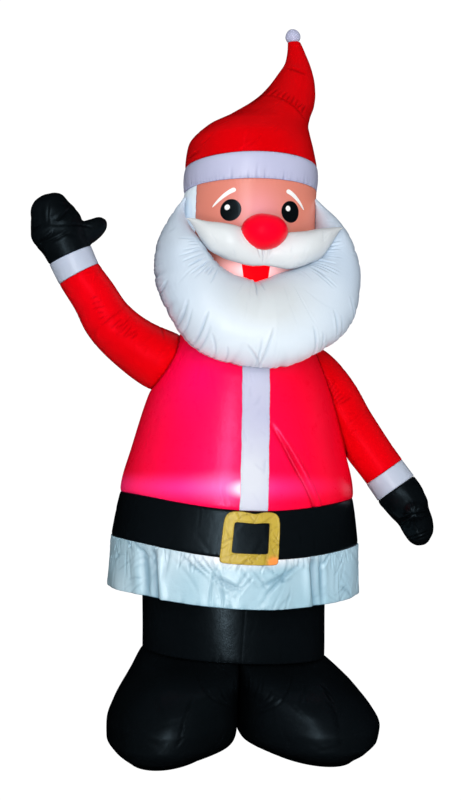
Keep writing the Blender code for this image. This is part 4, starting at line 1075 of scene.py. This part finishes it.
def beard():
    """The beard: a few deep folds drawn in at its rim, a fan of gathers at each corner of the mouth,
    and the fine wrinkles of thin cloth."""
    around, bend = np.meshgrid(turn(156, 0.42, math.pi / 2), np.linspace(-BEARD_REACH, BEARD_REACH, 500))
    skin = beard_skin(bend, around)
    outer = BEARD_BREADTH * (1 - np.cos(around)) / 2
    inner = BEARD_BREADTH * (1 + np.cos(around)) / 2
    run, run_in = bend * BEARD_RADIUS + BEARD_ROUND / 2, bend * 0.12 + BEARD_ROUND / 2
    corner = bell((np.abs(bend) - 1.35) / 0.50)
    lip = puckers(run_in, inner, BEARD_ROUND, 0.0095, 0.075, 103) * (0.15 + corner)
    lip_wide = puckers(run_in, inner, BEARD_ROUND, 0.022, 0.11, 104) * (0.10 + corner)
    fine = scattered(run, outer, BEARD_ROUND, 0.0, BEARD_BREADTH, 110, 0.11, 0.0045, (-0.6, 0.6), 106)
    relief, crease = creased(
        ((puckers(run, outer, BEARD_ROUND, 0.050, 0.10, 101), 0.0040, 0.5),
         (puckers(run, outer, BEARD_ROUND, 0.017, 0.050, 102), 0.0022, 0.3), (lip, 0.0034, 0.45),
         (lip_wide, 0.0034, 0.3), (fine, 0.0009, 0.15)),
        folded(skin, BEARD_FOLDS, held(np.sin(around) * 4)), 0.6)
    height = relief + pinch(outer) + pinch(inner) + 0.0018 * billow(skin, 0.17, 105)
    made = sew("beard", lifted(skin, height), "beard_satin", crease, np.minimum(outer, inner))


def moustache():
    """Two swelling lobes in one pillow, thinner under the nose, with their tips raised: an oval
    section whose height, half height and half depth follow the way out to the tips."""
    around, s = np.meshgrid(turn(100), np.sin(np.linspace(-1, 1, 250) * math.pi / 2) * (1 - 1e-3))
    a = np.abs(s)
    lift = smooth(a, ((0, -0.049), (0.175, -0.045), (0.35, -0.040), (0.48, -0.0325), (0.61, -0.022),
                      (0.72, -0.012), (0.81, 0.004), (0.88, 0.020), (0.965, 0.035), (1, 0.038)))
    lift = lift + 0.0075 * bell((s + 0.42) / 0.22)
    tall = smooth(a, ((0, 0.0395), (0.175, 0.048), (0.35, 0.0525), (0.48, 0.051), (0.61, 0.047),
                      (0.72, 0.0405), (0.81, 0.029), (0.88, 0.0175), (0.965, 0.0045), (1, 0.0015)))
    deep = smooth(a, ((0, 0.021), (0.25, 0.037), (0.5, 0.050), (0.75, 0.038), (0.92, 0.014), (1, 0.0015)))
    x = s * MOUSTACHE_HALF_SPAN
    z = BROW - LIP_DROP + lift - x * math.tan(MOUSTACHE_ROLL) + tall * np.cos(around)
    y = -HEAD_FORWARD - 0.232 - 0.012 * a + 0.052 * a ** 2 + deep * np.sin(around)
    skin = np.stack([FACE_MIDDLE + 0.004 + 0.010 * a + x, y, z], -1)
    top = np.minimum(around, 2 * math.pi - around) * MOUSTACHE_SECTION
    bottom = np.abs(around - math.pi) * MOUSTACHE_SECTION
    run = x + 0.5
    tight = puckers(run, top, 1.0, 0.011, 0.030, 111) + puckers(run, bottom, 1.0, 0.013, 0.040, 112)
    wide = puckers(run, bottom, 1.0, 0.050, 0.08, 113) * (0.4 + a)
    fine = scattered(run, (around - math.pi) * MOUSTACHE_SECTION, 1.0, 0.0, 0.15, 70, 0.05, 0.0036,
                     (-1.2, 1.2), 115)
    relief, _ = creased(((tight, 0.0016, 0), (wide, 0.0024, 0), (fine, 0.0008, 0)))
    middle = held(-np.sin(around) * 2) * (fold(x, z, -0.010, 1.455, -0.006, 1.395, 0.0050, 0, 0.6)
                                          + 0.7 * fold(x, z, 0.012, 1.450, 0.002, 1.405, 0.0040, 0, -0.6)
                                          + 0.7 * fold(x, z, -0.030, 1.445, -0.014, 1.405, 0.0040, 0, 0.6))
    # Painted shade: how much darker each crease of the moustache is painted.
    crease = held(0.45 * tight + 0.4 * wide + 0.15 * fine + 0.5 * held(middle))
    height = held((1 - a) * 6) * (relief + pinch(top, 0.002, 0.004) + pinch(bottom, 0.002, 0.004)
                                  + 0.0010 * billow(skin, 0.08, 114)) - 0.0045 * middle
    made = sew("moustache", lifted(skin, height), "moustache_satin", crease, np.minimum(top, bottom))


def nose():
    """The round red nose, a sewn ball a little wider than tall, flatter and broader on top and
    gathered round its rim."""
    middle = np.array([FACE_MIDDLE - 0.002, -HEAD_FORWARD - HEAD_HALF_WIDTH * HEAD_DEPTH_SHARE - 0.067,
                       BROW - NOSE_DROP])
    around, tilt = np.meshgrid(turn(140), np.linspace(0.03, math.pi - 0.03, 80))
    above, sides = np.sin(around), np.cos(around) ** 2
    flat_top = 1 - 0.05 * held(above) ** 4
    shoulder = 1 + 0.07 * held(above) * sides - 0.07 * held(-above) * sides
    skin = middle + np.stack([NOSE_HALF_WIDTH * np.sin(tilt) * np.cos(around) * shoulder,
                              -NOSE_DEPTH * np.cos(tilt),
                              NOSE_HALF_HEIGHT * np.sin(tilt) * above * flat_top], -1)
    rim = np.abs(tilt - math.pi * 0.52) * NOSE_MEAN_RADIUS
    gather = puckers(around * NOSE_MEAN_RADIUS, rim, 2 * math.pi * NOSE_MEAN_RADIUS, 0.013, 0.060, 121)
    relief, crease = creased(((gather, 0.0030, 0.6),))
    height = relief + pinch(rim, 0.002, 0.004) + 0.0008 * billow(skin, 0.06, 122)
    made = sew("nose", lifted(skin, height), "nose_satin", crease, rim)


# Hat

def hat_skin(angle, share):
    """Points of the hat: an oval at each level, whose middle shifts to his left towards the tip."""
    half = HEAD_HALF_WIDTH * smooth(share, HAT_OUTLINE)
    shift = HAT_HEIGHT * smooth(share, HAT_SHIFT)
    deep = half * (HEAD_DEPTH_SHARE + (1 - HEAD_DEPTH_SHARE) * share)
    bow = (head(angle, BAND_TOP + 0 * angle)[..., 2] - BAND_TOP) * np.maximum(0.0, 1 - 2 * share)
    level = BAND_TOP + SEAM_GAP + share * (HAT_HEIGHT - SEAM_GAP) + bow
    return np.stack([sway(BAND_TOP) + shift + half * np.sin(angle), -HEAD_FORWARD - deep * np.cos(angle),
                     level], axis=-1)


# The hat's creases, the seam at its bend first
HAT_FOLDS = ((0.0032, 0.070, 1.922, 0.215, 1.828, 0.0032, -0.012, 0.5),
             *ladder((0.085, 1.935), (0.200, 1.870), 9, 0.034, 0.95, 0.0034, 0.0022, 135),
             (0.0024, 0.030, 1.885, 0.100, 1.960, 0.0080, 0.004, 0.8),
             (0.0034, -0.185, 1.722, -0.120, 1.742, 0.0050, 0.003, 0.8),
             (0.0018, 0.150, 2.010, 0.215, 1.985, 0.0050, 0.003, 0.8))


def hat():
    """The red cone of the hat, creased on the inside of its bend and seamed where it bends."""
    angle, share = np.meshgrid(turn(280, 0.25), dense(0, 1, 130, 0.3))
    skin = hat_skin(angle, share)
    low, run = share * HAT_HEIGHT, angle * HEAD_HALF_WIDTH
    side = np.abs(angle - math.pi) * HEAD_HALF_WIDTH * smooth(share, HAT_OUTLINE)
    fine = scattered(run, low, HEAD_ROUND, 0.02, 0.85 * HAT_HEIGHT, 60, 0.10, 0.0045, (-1.3, 1.3), 133)
    relief, crease = creased(((puckers(run, low, HEAD_ROUND, 0.016, 0.028, 131), 0.0016, 0.5),
                              (fine, 0.0009, 0.2)), folded(skin, HAT_FOLDS, held(3 * np.cos(angle))), 0.9)
    height = relief + pinch(low) + 0.0014 * billow(skin, 0.18, 132) + pinch(side, 0.0016, 0.003)
    sew("hat", lifted(skin, height * held((1 - share) * 12)), "hat_satin", crease, np.minimum(low, side))


def hat_band():
    """The white band round the brow, gathered along its lower edge over the face."""
    angle, share = np.meshgrid(turn(440, 0.4), dense(0, 1, 30, 0.5))
    level = BROW + SEAM_GAP + share * (BAND_HEIGHT - 2 * SEAM_GAP)
    low, high, run = share * BAND_HEIGHT, (1 - share) * BAND_HEIGHT, angle * HEAD_HALF_WIDTH
    gather = (puckers(run, low, HEAD_ROUND, 0.012, 0.036, 141)
              + 0.8 * puckers(run, low, HEAD_ROUND, 0.026, 0.060, 142))
    relief, crease = creased(((gather, 0.0034, 0.9),
                              (puckers(run, high, HEAD_ROUND, 0.014, 0.016, 143), 0.0010, 0.4)))
    height = (relief + 0.0030 * np.sin(math.pi * share) + pinch(low) + pinch(high)
              + 0.0010 * bell((low - 0.006) / 0.004))
    sew("hat_band", head(angle, level, height), "band_satin", crease, np.minimum(low, high))


def pompom():
    """The small round pompom, sewn on the hat's tip."""
    tip = hat_skin(turn(24), np.ones(24)).mean(0)
    around, tilt = np.meshgrid(turn(72), np.linspace(math.radians(38), math.pi - 0.04, 40))
    ball = POMPOM_RADIUS * np.stack([np.sin(tilt) * np.cos(around), np.sin(tilt) * np.sin(around),
                                     -np.cos(tilt)], -1)
    skin = tip + np.array([-0.004, 0, 0]) + ball
    skin[..., 2] += HAT_TIP + SEAM_GAP - skin[0, 0, 2]
    away = (tilt - tilt[0]) * POMPOM_RADIUS
    tight = puckers(around * POMPOM_RADIUS, away, 2 * math.pi * POMPOM_RADIUS, 0.012, 0.03, 151)
    height = -0.0014 * tight * held(away / 0.004) + 0.0006 * billow(skin, 0.03, 152)
    made = sew("pompom", lifted(skin, np.minimum(height, 0.0004)), "band_satin", held(tight), away)


# Finishes

DARK = (0.0, 0.0, 0.0)


class Shade:
    """A number that changes over a surface: one socket, whose operators add the Math nodes."""

    def __init__(self, cloth, socket):
        self.cloth, self.socket = cloth, socket

    def math(self, operation, *values):
        """One Math node on this and other numbers or sockets, in the order given."""
        return self.cloth.number("ShaderNodeMath", {"operation": operation}, dict(enumerate(values)), 0)

    def __add__(self, other):
        return self.math("ADD", self, other)

    def __sub__(self, other):
        return self.math("SUBTRACT", self, other)

    def __rsub__(self, other):
        return self.math("SUBTRACT", other, self)

    def __mul__(self, other):
        return self.math("MULTIPLY", self, other)

    def __truediv__(self, other):
        return self.math("DIVIDE", self, other)

    def __pow__(self, other):
        return self.math("POWER", self, other)

    def held(self):
        """This number, kept between 0 and 1."""
        return self.cloth.number("ShaderNodeClamp", {}, {"Value": self}, 0)

    def near(self, place, width):
        """1 where this number is at a place, falling to 0 a width away on both sides."""
        return (1 - self.math("ABSOLUTE", self - place) / width).held()

    __radd__ = __add__
    __rmul__ = __mul__


class Finish:
    """One finish: a Principled shader, and the nodes that feed it."""

    def __init__(self, name):
        self.material = bpy.data.materials.new(name)
        self.material.use_nodes = True
        self.tree = self.material.node_tree
        self.shader = self.tree.nodes["Principled BSDF"]

    def node(self, kind, settings, inputs):
        """Any node: its type, its settings, which are set first, and the values or links of its
        sockets, by name or number."""
        made = self.tree.nodes.new(kind)
        for key, value in settings.items():
            setattr(made, key, value)
        for key, value in inputs.items():
            self.feed(made.inputs[key], value)
        return made

    def feed(self, socket, value):
        """Links a socket to a number that changes or to another socket, or sets its constant."""
        if isinstance(value, Shade):
            value = value.socket
        if isinstance(value, bpy.types.NodeSocket):
            self.tree.links.new(value, socket)
        elif hasattr(value, "__len__") and len(value) == 3 and socket.type == "RGBA":
            socket.default_value = (*value, 1)
        else:
            socket.default_value = value

    def number(self, kind, settings, inputs, output):
        """A node whose output is a number."""
        return Shade(self, self.node(kind, settings, inputs).outputs[output])

    def place(self):
        """Object coordinates, which are the figure's own metres."""
        return self.node("ShaderNodeTexCoord", {}, {}).outputs["Object"]

    def cloth_map(self, scale):
        """The way round and the way along a panel in metres, scaled."""
        at = self.node("ShaderNodeUVMap", {"uv_map": "cloth"}, {}).outputs[0]
        return self.node("ShaderNodeMapping", {}, {"Vector": at, "Scale": scale}).outputs[0]

    def split(self, vector):
        """The three numbers of a vector."""
        parts = self.node("ShaderNodeSeparateXYZ", {}, {"Vector": vector})
        return [Shade(self, output) for output in parts.outputs]

    def mark(self, name):
        """A number kept on the points of the piece."""
        return self.number("ShaderNodeAttribute", {"attribute_name": name}, {}, "Fac")

    def noise(self, at, scale, detail=2.0, roughness=0.5):
        """Soft noise from 0 to 1 at a number of waves for each metre."""
        return self.number("ShaderNodeTexNoise", {}, {"Vector": at, "Scale": scale, "Detail": detail,
                                                      "Roughness": roughness}, 0)

    def spot(self, x, y, z, *size):
        """1 at a place of the upper body, falling to 0 on an oval round it: 1 - |(p - centre) / size|,
        squared after it is held above 0."""
        centre = Vector(turned_up(np.array([x, y, z])))
        kind = "ShaderNodeVectorMath"
        shifted = self.node(kind, {"operation": "SUBTRACT"}, {0: self.place(), 1: centre})
        shares = self.node(kind, {"operation": "DIVIDE"}, {0: shifted.outputs[0], 1: size})
        far = self.number(kind, {"operation": "LENGTH"}, {0: shares.outputs[0]}, 1)
        return (1 - far).held() ** 2

    def mix(self, share, low, high):
        """A colour between two, by a share that is held between 0 and 1."""
        return self.node("ShaderNodeMix", {"data_type": "RGBA", "clamp_factor": True},
                         {0: share, 6: low, 7: high}).outputs[2]

    def bump(self, height, distance, **onto):
        """A bump from a height of 0 to 1 and its real size in metres."""
        return self.node("ShaderNodeBump", {}, {"Height": height, "Distance": distance, "Strength": 1.0,
                                                **onto}).outputs[0]


def satin(name, colour, deep, pale, roughness=0.34, specular=0.3, gloss=(1, 1, 1), crinkle=0.0008,
          drifting=1.6, glow=None):
    """Thin satin polyester. Its colour drifts slowly between two; it is painted darker, towards deep, in
    creases and along seams as painted shade, and two lines of stitches follow each seam; fine threads and a
    slight crinkle roughen it. glow is a function from the finish to (share, colour, light): the cloth turns
    to the colour by the share, and gives off the light as a painted glow, less of it in creases and along
    seams."""
    cloth = Finish(name)
    place = cloth.place()
    crease, seam, join = cloth.mark("crease"), cloth.mark("seam"), cloth.mark("join")
    drift = cloth.noise(place, 3.2, 2.0)
    fibre = cloth.noise(cloth.cloth_map((90.0, 1400.0, 1.0)), 1.0, 1.0)
    warp = cloth.noise(cloth.cloth_map((1400.0, 90.0, 1.0)), 1.0, 1.0)
    wrinkle = cloth.noise(place, 34.0, 3.0, 0.55)
    beat = cloth.split(cloth.cloth_map((1 / STITCH, 1 / STITCH, 1.0)))
    dash = (beat[0] + beat[1]).math("FRACT", beat[0] + beat[1]).near(0.5, 0.4)
    stitch = ((seam.near(0.0045, 0.0008) + join.near(0.0045, 0.0008)) * dash).held()
    line = (seam.near(0.0, 0.0020) + join.near(0.0, 0.0042)).held()
    # Painted shade: creases and the lines along seams are painted darker, towards deep; the stitches are
    # darker thread.
    shade = (crease * 0.6 + line * 0.8 + stitch * 0.35).held()
    surface = cloth.mix(drift * drifting + (0.5 - drifting / 2), colour, pale)
    shader = cloth.shader.inputs
    # Painted glow: the light the cloth gives off here stands for light that no lamp gives.
    if glow:
        share, tint, light = glow(cloth)
        surface = cloth.mix(share, surface, tint)
        if light is not None:
            cloth.feed(shader["Emission Color"], cloth.mix(shade * 0.8, light, DARK))
            shader["Emission Strength"].default_value = 1.0
    cloth.feed(shader["Base Color"], cloth.mix(shade, surface, deep))
    cloth.feed(shader["Roughness"], (roughness - 0.06) + wrinkle * 0.06 + fibre * 0.05 + crease * 0.08)
    shader["Specular IOR Level"].default_value = specular
    shader["Specular Tint"].default_value = (*gloss, 1)
    soft = cloth.bump(wrinkle, crinkle)
    cloth.feed(shader["Normal"], cloth.bump(fibre * 0.5 + warp * 0.5 - stitch, 0.00006, Normal=soft))
    return cloth.material


def coat_glow(cloth):
    """Painted light on the coat, as if a lamp were inside the belly: the coat is painted pink low down and
    over the chest as a painted glow, gives off a painted highlight in a band across the belly with a bright
    spot low on the front, and fades to plain red behind."""
    chest = cloth.spot(-0.15, -0.20, 1.10, 0.26, 0.30, 0.26)
    wide = cloth.spot(-0.10, -0.30, 0.84, 0.50, 0.45, 0.60)
    # wide and chest paint the coat pink as a painted glow; the band across the belly and the two small
    # spots on it are painted highlights.
    band = cloth.spot(-0.07, -0.05, 0.764, 0.43, 0.80, 0.058)
    near = cloth.spot(-0.070, -0.33, 0.770, 0.17, 0.2, 0.060)
    painted_hot_spot = cloth.spot(-0.018, -0.33, 0.762, 0.070, 0.2, 0.034)
    ahead = ((0.25 - cloth.split(cloth.place())[1]) / 0.2).held()
    light = cloth.mix(wide * 0.08, (0.06, 0.0, 0.0), (1.0, 0.02, 0.40))
    light = cloth.mix((band * ahead * 2.0).held() * 0.5, light, (1.0, 0.08, 0.50))
    light = cloth.mix(near * 0.5, light, (1.0, 0.45, 0.75))
    light = cloth.mix(painted_hot_spot * 3.0, light, (1.0, 0.88, 0.98))
    return wide * 0.75 + band * ahead * 0.6 + chest, (0.95, 0.002, 0.11), light


def lip_glow(cloth):
    """A painted glow on the red of the lip, where moustache and beard shade it; the red changes a little
    there too.
    """
    mouth_spot = cloth.spot(0.030, -0.215, 1.385, 0.20, 0.10, 0.09)
    return mouth_spot * 0.2, (0.90, 0.001, 0.006), cloth.mix(mouth_spot, DARK, (0.75, 0.0, 0.004))


def skin_glow(cloth):
    """The face is pinker and lighter between the eyes. Round the mouth it is painted pinker and lighter and
    gives off a painted glow, and at his left temple it gives off a painted glow too."""
    mouth_spot = cloth.spot(0.030, -0.215, 1.385, 0.20, 0.10, 0.065)
    between = cloth.spot(0.035, -0.205, 1.555, 0.15, 0.16, 0.13)
    temple = cloth.spot(0.215, -0.13, 1.55, 0.14, 0.16, 0.22)
    light = cloth.mix(mouth_spot * 1.4, DARK, (0.90, 0.64, 0.70))
    light = cloth.mix(temple * 1.5, light, (0.13, 0.045, 0.03))
    return mouth_spot * 0.5 + between * 0.8, (0.80, 0.34, 0.40), light


def beard_glow(cloth):
    """Painted light on the beard: a painted glow over its lower half and its middle below the mouth, where
    it is also painted a plainer, less blue white.
    """
    low = cloth.spot(0.035, -0.22, 1.05, 0.50, 0.44, 0.36)
    middle = cloth.spot(0.035, -0.34, 1.29, 0.34, 0.30, 0.26)
    light = cloth.mix(low * 3.0 + middle * 0.30, (0.02, 0.030, 0.048), (0.205, 0.222, 0.230))
    return middle * 1.6, (0.465, 0.50, 0.515), light


def head_glow(cloth):
    """A little painted glow on the white of the head, the same all over."""
    return 0.0, (0.80, 0.88, 0.92), (0.10, 0.13, 0.17)


def placket_glow(cloth):
    """The placket is painted whiter low down, a painted glow over the belly."""
    return cloth.spot(-0.005, -0.33, 0.80, 0.20, 0.30, 0.26) * 1.5, (0.625, 0.65, 0.72), None


def skirt_glow(cloth):
    """The skirt is painted paler right below the buckle and gives off a painted glow there and at his left
    side.
    """
    near_belt = cloth.spot(0.00, -0.33, 0.575, 0.30, 0.20, 0.050)
    side = cloth.spot(0.33, -0.20, 0.52, 0.24, 0.40, 0.30)
    light = cloth.mix(side * 1.5, DARK, (0.10, 0.13, 0.16))
    return near_belt, (0.86, 0.86, 0.90), cloth.mix(near_belt, light, (0.70, 0.45, 0.36))


def gold_tint(cloth):
    """The orange corner of the buckle, low on his left."""
    return cloth.spot(0.056, -0.345, 0.556, 0.030, 0.08, 0.030) * 4.0, (0.86, 0.27, 0.055), None


def finishes():
    """Every finish with its slot: its colour, its deep colour, which is the painted shade of its creases
    and seams, its pale colour, and what is its own.
    """
    black = dict(gloss=(0.60, 0.84, 1))
    rows = (
        ("red_satin", "red", (0.62, 0.0003, 0.0020), (0.20, 0.0001, 0.0006), (0.76, 0.0004, 0.0050),
         dict(gloss=(1, 0.02, 0.06))),
        ("hat_satin", "red", (0.52, 0.0002, 0.0012), (0.16, 0.0001, 0.0004), (0.68, 0.0003, 0.0030),
         dict(gloss=(1, 0.01, 0.03))),
        ("coat_satin", "red", (0.86, 0.0004, 0.010), (0.30, 0.0002, 0.003), (0.94, 0.0005, 0.024),
         dict(roughness=0.29, specular=0.45, gloss=(1, 0.30, 0.80), glow=coat_glow)),
        ("nose_satin", "nose_red", (0.92, 0.0006, 0.012), (0.40, 0.0004, 0.004), (0.96, 0.0008, 0.022),
         dict(gloss=(1, 0.08, 0.14))),
        ("lip_satin", "nose_red", (0.92, 0.0006, 0.003), (0.50, 0.0004, 0.002), (0.96, 0.0008, 0.004),
         dict(gloss=(1, 0.04, 0.04), glow=lip_glow)),
        ("black_satin", "black", (0.0018, 0.0028, 0.0036), (0.0006, 0.0010, 0.0014),
         (0.0032, 0.0048, 0.0064), dict(roughness=0.30, specular=0.18, **black)),
        ("dull_black_satin", "black", (0.0014, 0.0022, 0.0026), (0.0005, 0.0008, 0.0010),
         (0.0032, 0.0048, 0.0064), dict(roughness=0.36, specular=0.12, **black)),
        # The head's white is painted lighter than the other white satins, as painted light on the head's
        # sides, which turn away from the lamps.
        ("white_satin", "white", (0.70, 0.80, 0.86), (0.38, 0.47, 0.60), (0.82, 0.89, 0.92),
         dict(glow=head_glow)),
        ("beard_satin", "white", (0.475, 0.58, 0.70), (0.23, 0.33, 0.45), (0.58, 0.655, 0.725),
         dict(crinkle=0.0010, glow=beard_glow)),
        ("moustache_satin", "white", (0.58, 0.62, 0.65), (0.27, 0.36, 0.47), (0.68, 0.71, 0.72),
         dict(crinkle=0.0010)),
        ("skirt_satin", "white", (0.28, 0.48, 0.58), (0.06, 0.17, 0.26), (0.52, 0.67, 0.75),
         dict(specular=0.6, crinkle=0.0014, drifting=2.4, glow=skirt_glow)),
        ("band_satin", "white", (0.40, 0.42, 0.60), (0.20, 0.22, 0.40), (0.51, 0.53, 0.70), {}),
        ("cuff_satin", "white", (0.385, 0.44, 0.57), (0.22, 0.27, 0.39), (0.50, 0.56, 0.66), {}),
        ("placket_satin", "white", (0.415, 0.42, 0.61), (0.25, 0.27, 0.44), (0.56, 0.58, 0.69),
         dict(glow=placket_glow)),
        ("skin_satin", "skin", (0.62, 0.195, 0.135), (0.28, 0.070, 0.036), (0.70, 0.23, 0.175),
         dict(glow=skin_glow)),
        ("gold_satin", "gold", (0.38, 0.265, 0.020), (0.16, 0.10, 0.007), (0.62, 0.46, 0.08),
         dict(drifting=2.0, glow=gold_tint)),
        ("white_paint", "white", (0.86, 0.87, 0.86), (0.6, 0.6, 0.6), (0.88, 0.89, 0.88),
         dict(roughness=0.5)))
    return {name: (satin(name, *colours, **own), slot) for name, slot, *colours, own in rows}


# Studio

def camera():
    """The camera, at the height of his coat and a little to his right, looking level."""
    data = bpy.data.cameras.new("camera")
    data.lens, data.sensor_width = CAMERA_LENS, 36
    data.shift_x, data.shift_y = CAMERA_SHIFT
    made = bpy.data.objects.new("camera", data)
    bpy.context.scene.collection.objects.link(made)
    away = CAMERA_DISTANCE * Vector((math.sin(CAMERA_AZIMUTH), -math.cos(CAMERA_AZIMUTH), 0))
    made.location = Vector(FIGURE_PLACE) + away + Vector((0, 0, CAMERA_HEIGHT))
    made.rotation_euler = (math.pi / 2, 0, CAMERA_AZIMUTH)
    bpy.context.scene.camera = made


# The soft boxes: name, azimuth in degrees, distance, height, width and height of the box, power in
# watts, and whether the cloth mirrors it
LAMPS = (("strip", -9, 4.2, 1.75, (0.16, 3.5), 85, True), ("heel", -10, 4.2, 0.30, (0.16, 0.30), 16, True),
         ("gloss", -30, 4.6, 1.5, (1.4, 2.2), 3, True), ("low", -5, 4.2, 1.15, (5.0, 0.16), 12, True),
         ("front", 8, 5.0, 1.7, (2.4, 1.8), 60, False), ("foot", 0, 3.5, 0.3, (3.0, 0.5), 12, False),
         ("above", 0, 1.6, 4.2, (3.0, 3.0), 10, False),
         ("right_side", -88, 5.0, 1.6, (2.0, 2.4), 16, False),
         ("left_side", 88, 5.0, 1.6, (2.0, 2.4), 30, False), ("rear", 176, 5.0, 2.0, (3.0, 2.4), 70, False))


def lamp(name, azimuth, distance, height, size, power, shine):
    """A soft box at an azimuth from his front, towards his left, that faces his middle. Without
    shine it lights the cloth but isn't mirrored in it."""
    data = bpy.data.lights.new(name, "AREA")
    data.shape, data.size, data.size_y, data.energy = "RECTANGLE", *size, power
    made = bpy.data.objects.new(name, data)
    bpy.context.scene.collection.objects.link(made)
    turned = math.radians(azimuth)
    made.location = (distance * math.sin(turned), -distance * math.cos(turned), height)
    made.rotation_euler = (Vector((0, 0, 0.9)) - made.location).to_track_quat("-Z", "Y").to_euler()
    made.visible_glossy = shine


def by_camera_ray(tree, seen, lit, output):
    """Joins two shader sockets: what the camera sees straight, and what lights the figure."""
    path = tree.nodes.new("ShaderNodeLightPath")
    both = tree.nodes.new("ShaderNodeMixShader")
    for here, there in ((path.outputs["Is Camera Ray"], both.inputs[0]), (lit, both.inputs[1]),
                        (seen, both.inputs[2]), (both.outputs[0], output)):
        tree.links.new(here, there)


def studio():
    """A white room that isn't mirrored in the satin, a pale floor that goes on for ever, and soft
    boxes: tall narrow ones and a low wide one draw the lines of shine, and the others light the
    front, the feet, both sides and the back."""
    scene = bpy.context.scene
    scene.view_settings.view_transform = "Standard"
    world = bpy.data.worlds.new("studio")
    scene.world = world
    world.use_nodes = True
    backs = [world.node_tree.nodes.new("ShaderNodeBackground") for _ in range(2)]
    for back, strength in zip(backs, (WHITE_STRENGTH, 0.25)):
        back.inputs["Color"].default_value = (1, 1, 1, 1)
        back.inputs["Strength"].default_value = strength
    by_camera_ray(world.node_tree, backs[0].outputs[0], backs[1].outputs[0],
                  world.node_tree.nodes["World Output"].inputs[0])
    world.cycles_visibility.glossy = False

    for row in LAMPS:
        lamp(*row)

    data = bpy.data.meshes.new("floor")
    side = 30.0
    data.from_pydata([(-side, -side, 0), (side, -side, 0), (side, side, 0), (-side, side, 0)], [],
                     [(0, 1, 2, 3)])
    floor = bpy.data.objects.new("floor", data)
    scene.collection.objects.link(floor)
    paint = Finish("floor_paint")
    for socket, value in (("Base Color", (0.55, 0.55, 0.55)), ("Roughness", 0.9),
                          ("Specular IOR Level", 0.0)):
        paint.feed(paint.shader.inputs[socket], value)
    white = paint.node("ShaderNodeEmission", {}, {"Strength": WHITE_STRENGTH})
    by_camera_ray(paint.tree, white.outputs[0], paint.shader.outputs[0],
                  paint.tree.nodes["Material Output"].inputs[0])
    data.materials.append(paint.material)
    floor.visible_glossy = False


def figure_place():
    """Where the figure's own origin stands in the frame: the left boot's lowest corner there, less
    the same corner worked out here."""
    skin = boot_skin(1, *np.meshgrid(turn(230), np.linspace(0, 1, 60)))
    low = np.array(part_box("left_boot")[0]) - skin.reshape(-1, 3).min(0)
    return np.array([low[0], low[1], 0.0])


def dress():
    """Makes every piece of the figure."""
    boot("right_boot", -1, RIGHT_BOOT_FOLDS, 11)
    boot("left_boot", 1, LEFT_BOOT_FOLDS, 21)
    legs()
    belt()
    skirt_trim()
    coat()
    placket()
    buckle()
    sleeve("right_sleeve", RIGHT_ARM, RIGHT_SLEEVE_FOLDS, 161)
    sleeve("left_sleeve", LEFT_ARM, LEFT_SLEEVE_FOLDS, 171)
    cuff("right_cuff", RIGHT_ARM, 181)
    cuff("left_cuff", LEFT_ARM, 191)
    mitten("right_mitten", RIGHT_ARM,
           ((0, 0, 0.344, 0.328), (0.25, 0, 0.388, 0.323), (0.47, -0.016, 0.417, 0.302),
            (0.6, 0, 0.372, 0.260), (0.68, 0.016, 0.349, 0.271), (0.86, 0.016, 0.281, 0.229),
            (0.96, 0.026, 0.167, 0.135), (1, 0.031, 0.031, 0.026)),
           ((0.215, 0.130, 0, 0.17), (0.215, 0.339, 0, 0.190), (0.225, 0.510, 0, 0.163),
            (0.255, 0.656, 0, 0.108), (0.27, 0.729, 0, 0.016)), RIGHT_MITTEN_FOLDS, 201)
    mitten("left_mitten", LEFT_ARM,
           ((0, 0, 0.344, 0.328), (0.24, 0, 0.339, 0.365), (0.43, 0.005, 0.294, 0.391),
            (0.53, 0.031, 0.271, 0.380), (0.66, 0.057, 0.25, 0.344), (0.8, 0.089, 0.224, 0.286),
            (0.91, 0.109, 0.156, 0.188), (0.975, 0.125, 0.031, 0.031)),
           ((0.42, 0.0, -0.05, 0.20), (0.445, 0.02, -0.20, 0.20), (0.47, 0.04, -0.32, 0.175),
            (0.485, 0.055, -0.41, 0.115), (0.4925, 0.0625, -0.445, 0.016)), LEFT_MITTEN_FOLDS, 211)
    head_piece()
    face()
    mouth()
    eyes()
    beard()
    moustache()
    nose()
    hat_band()
    hat()
    pompom()


FIGURE_PLACE = figure_place()
FINISH = finishes()
camera()
dress()
studio()
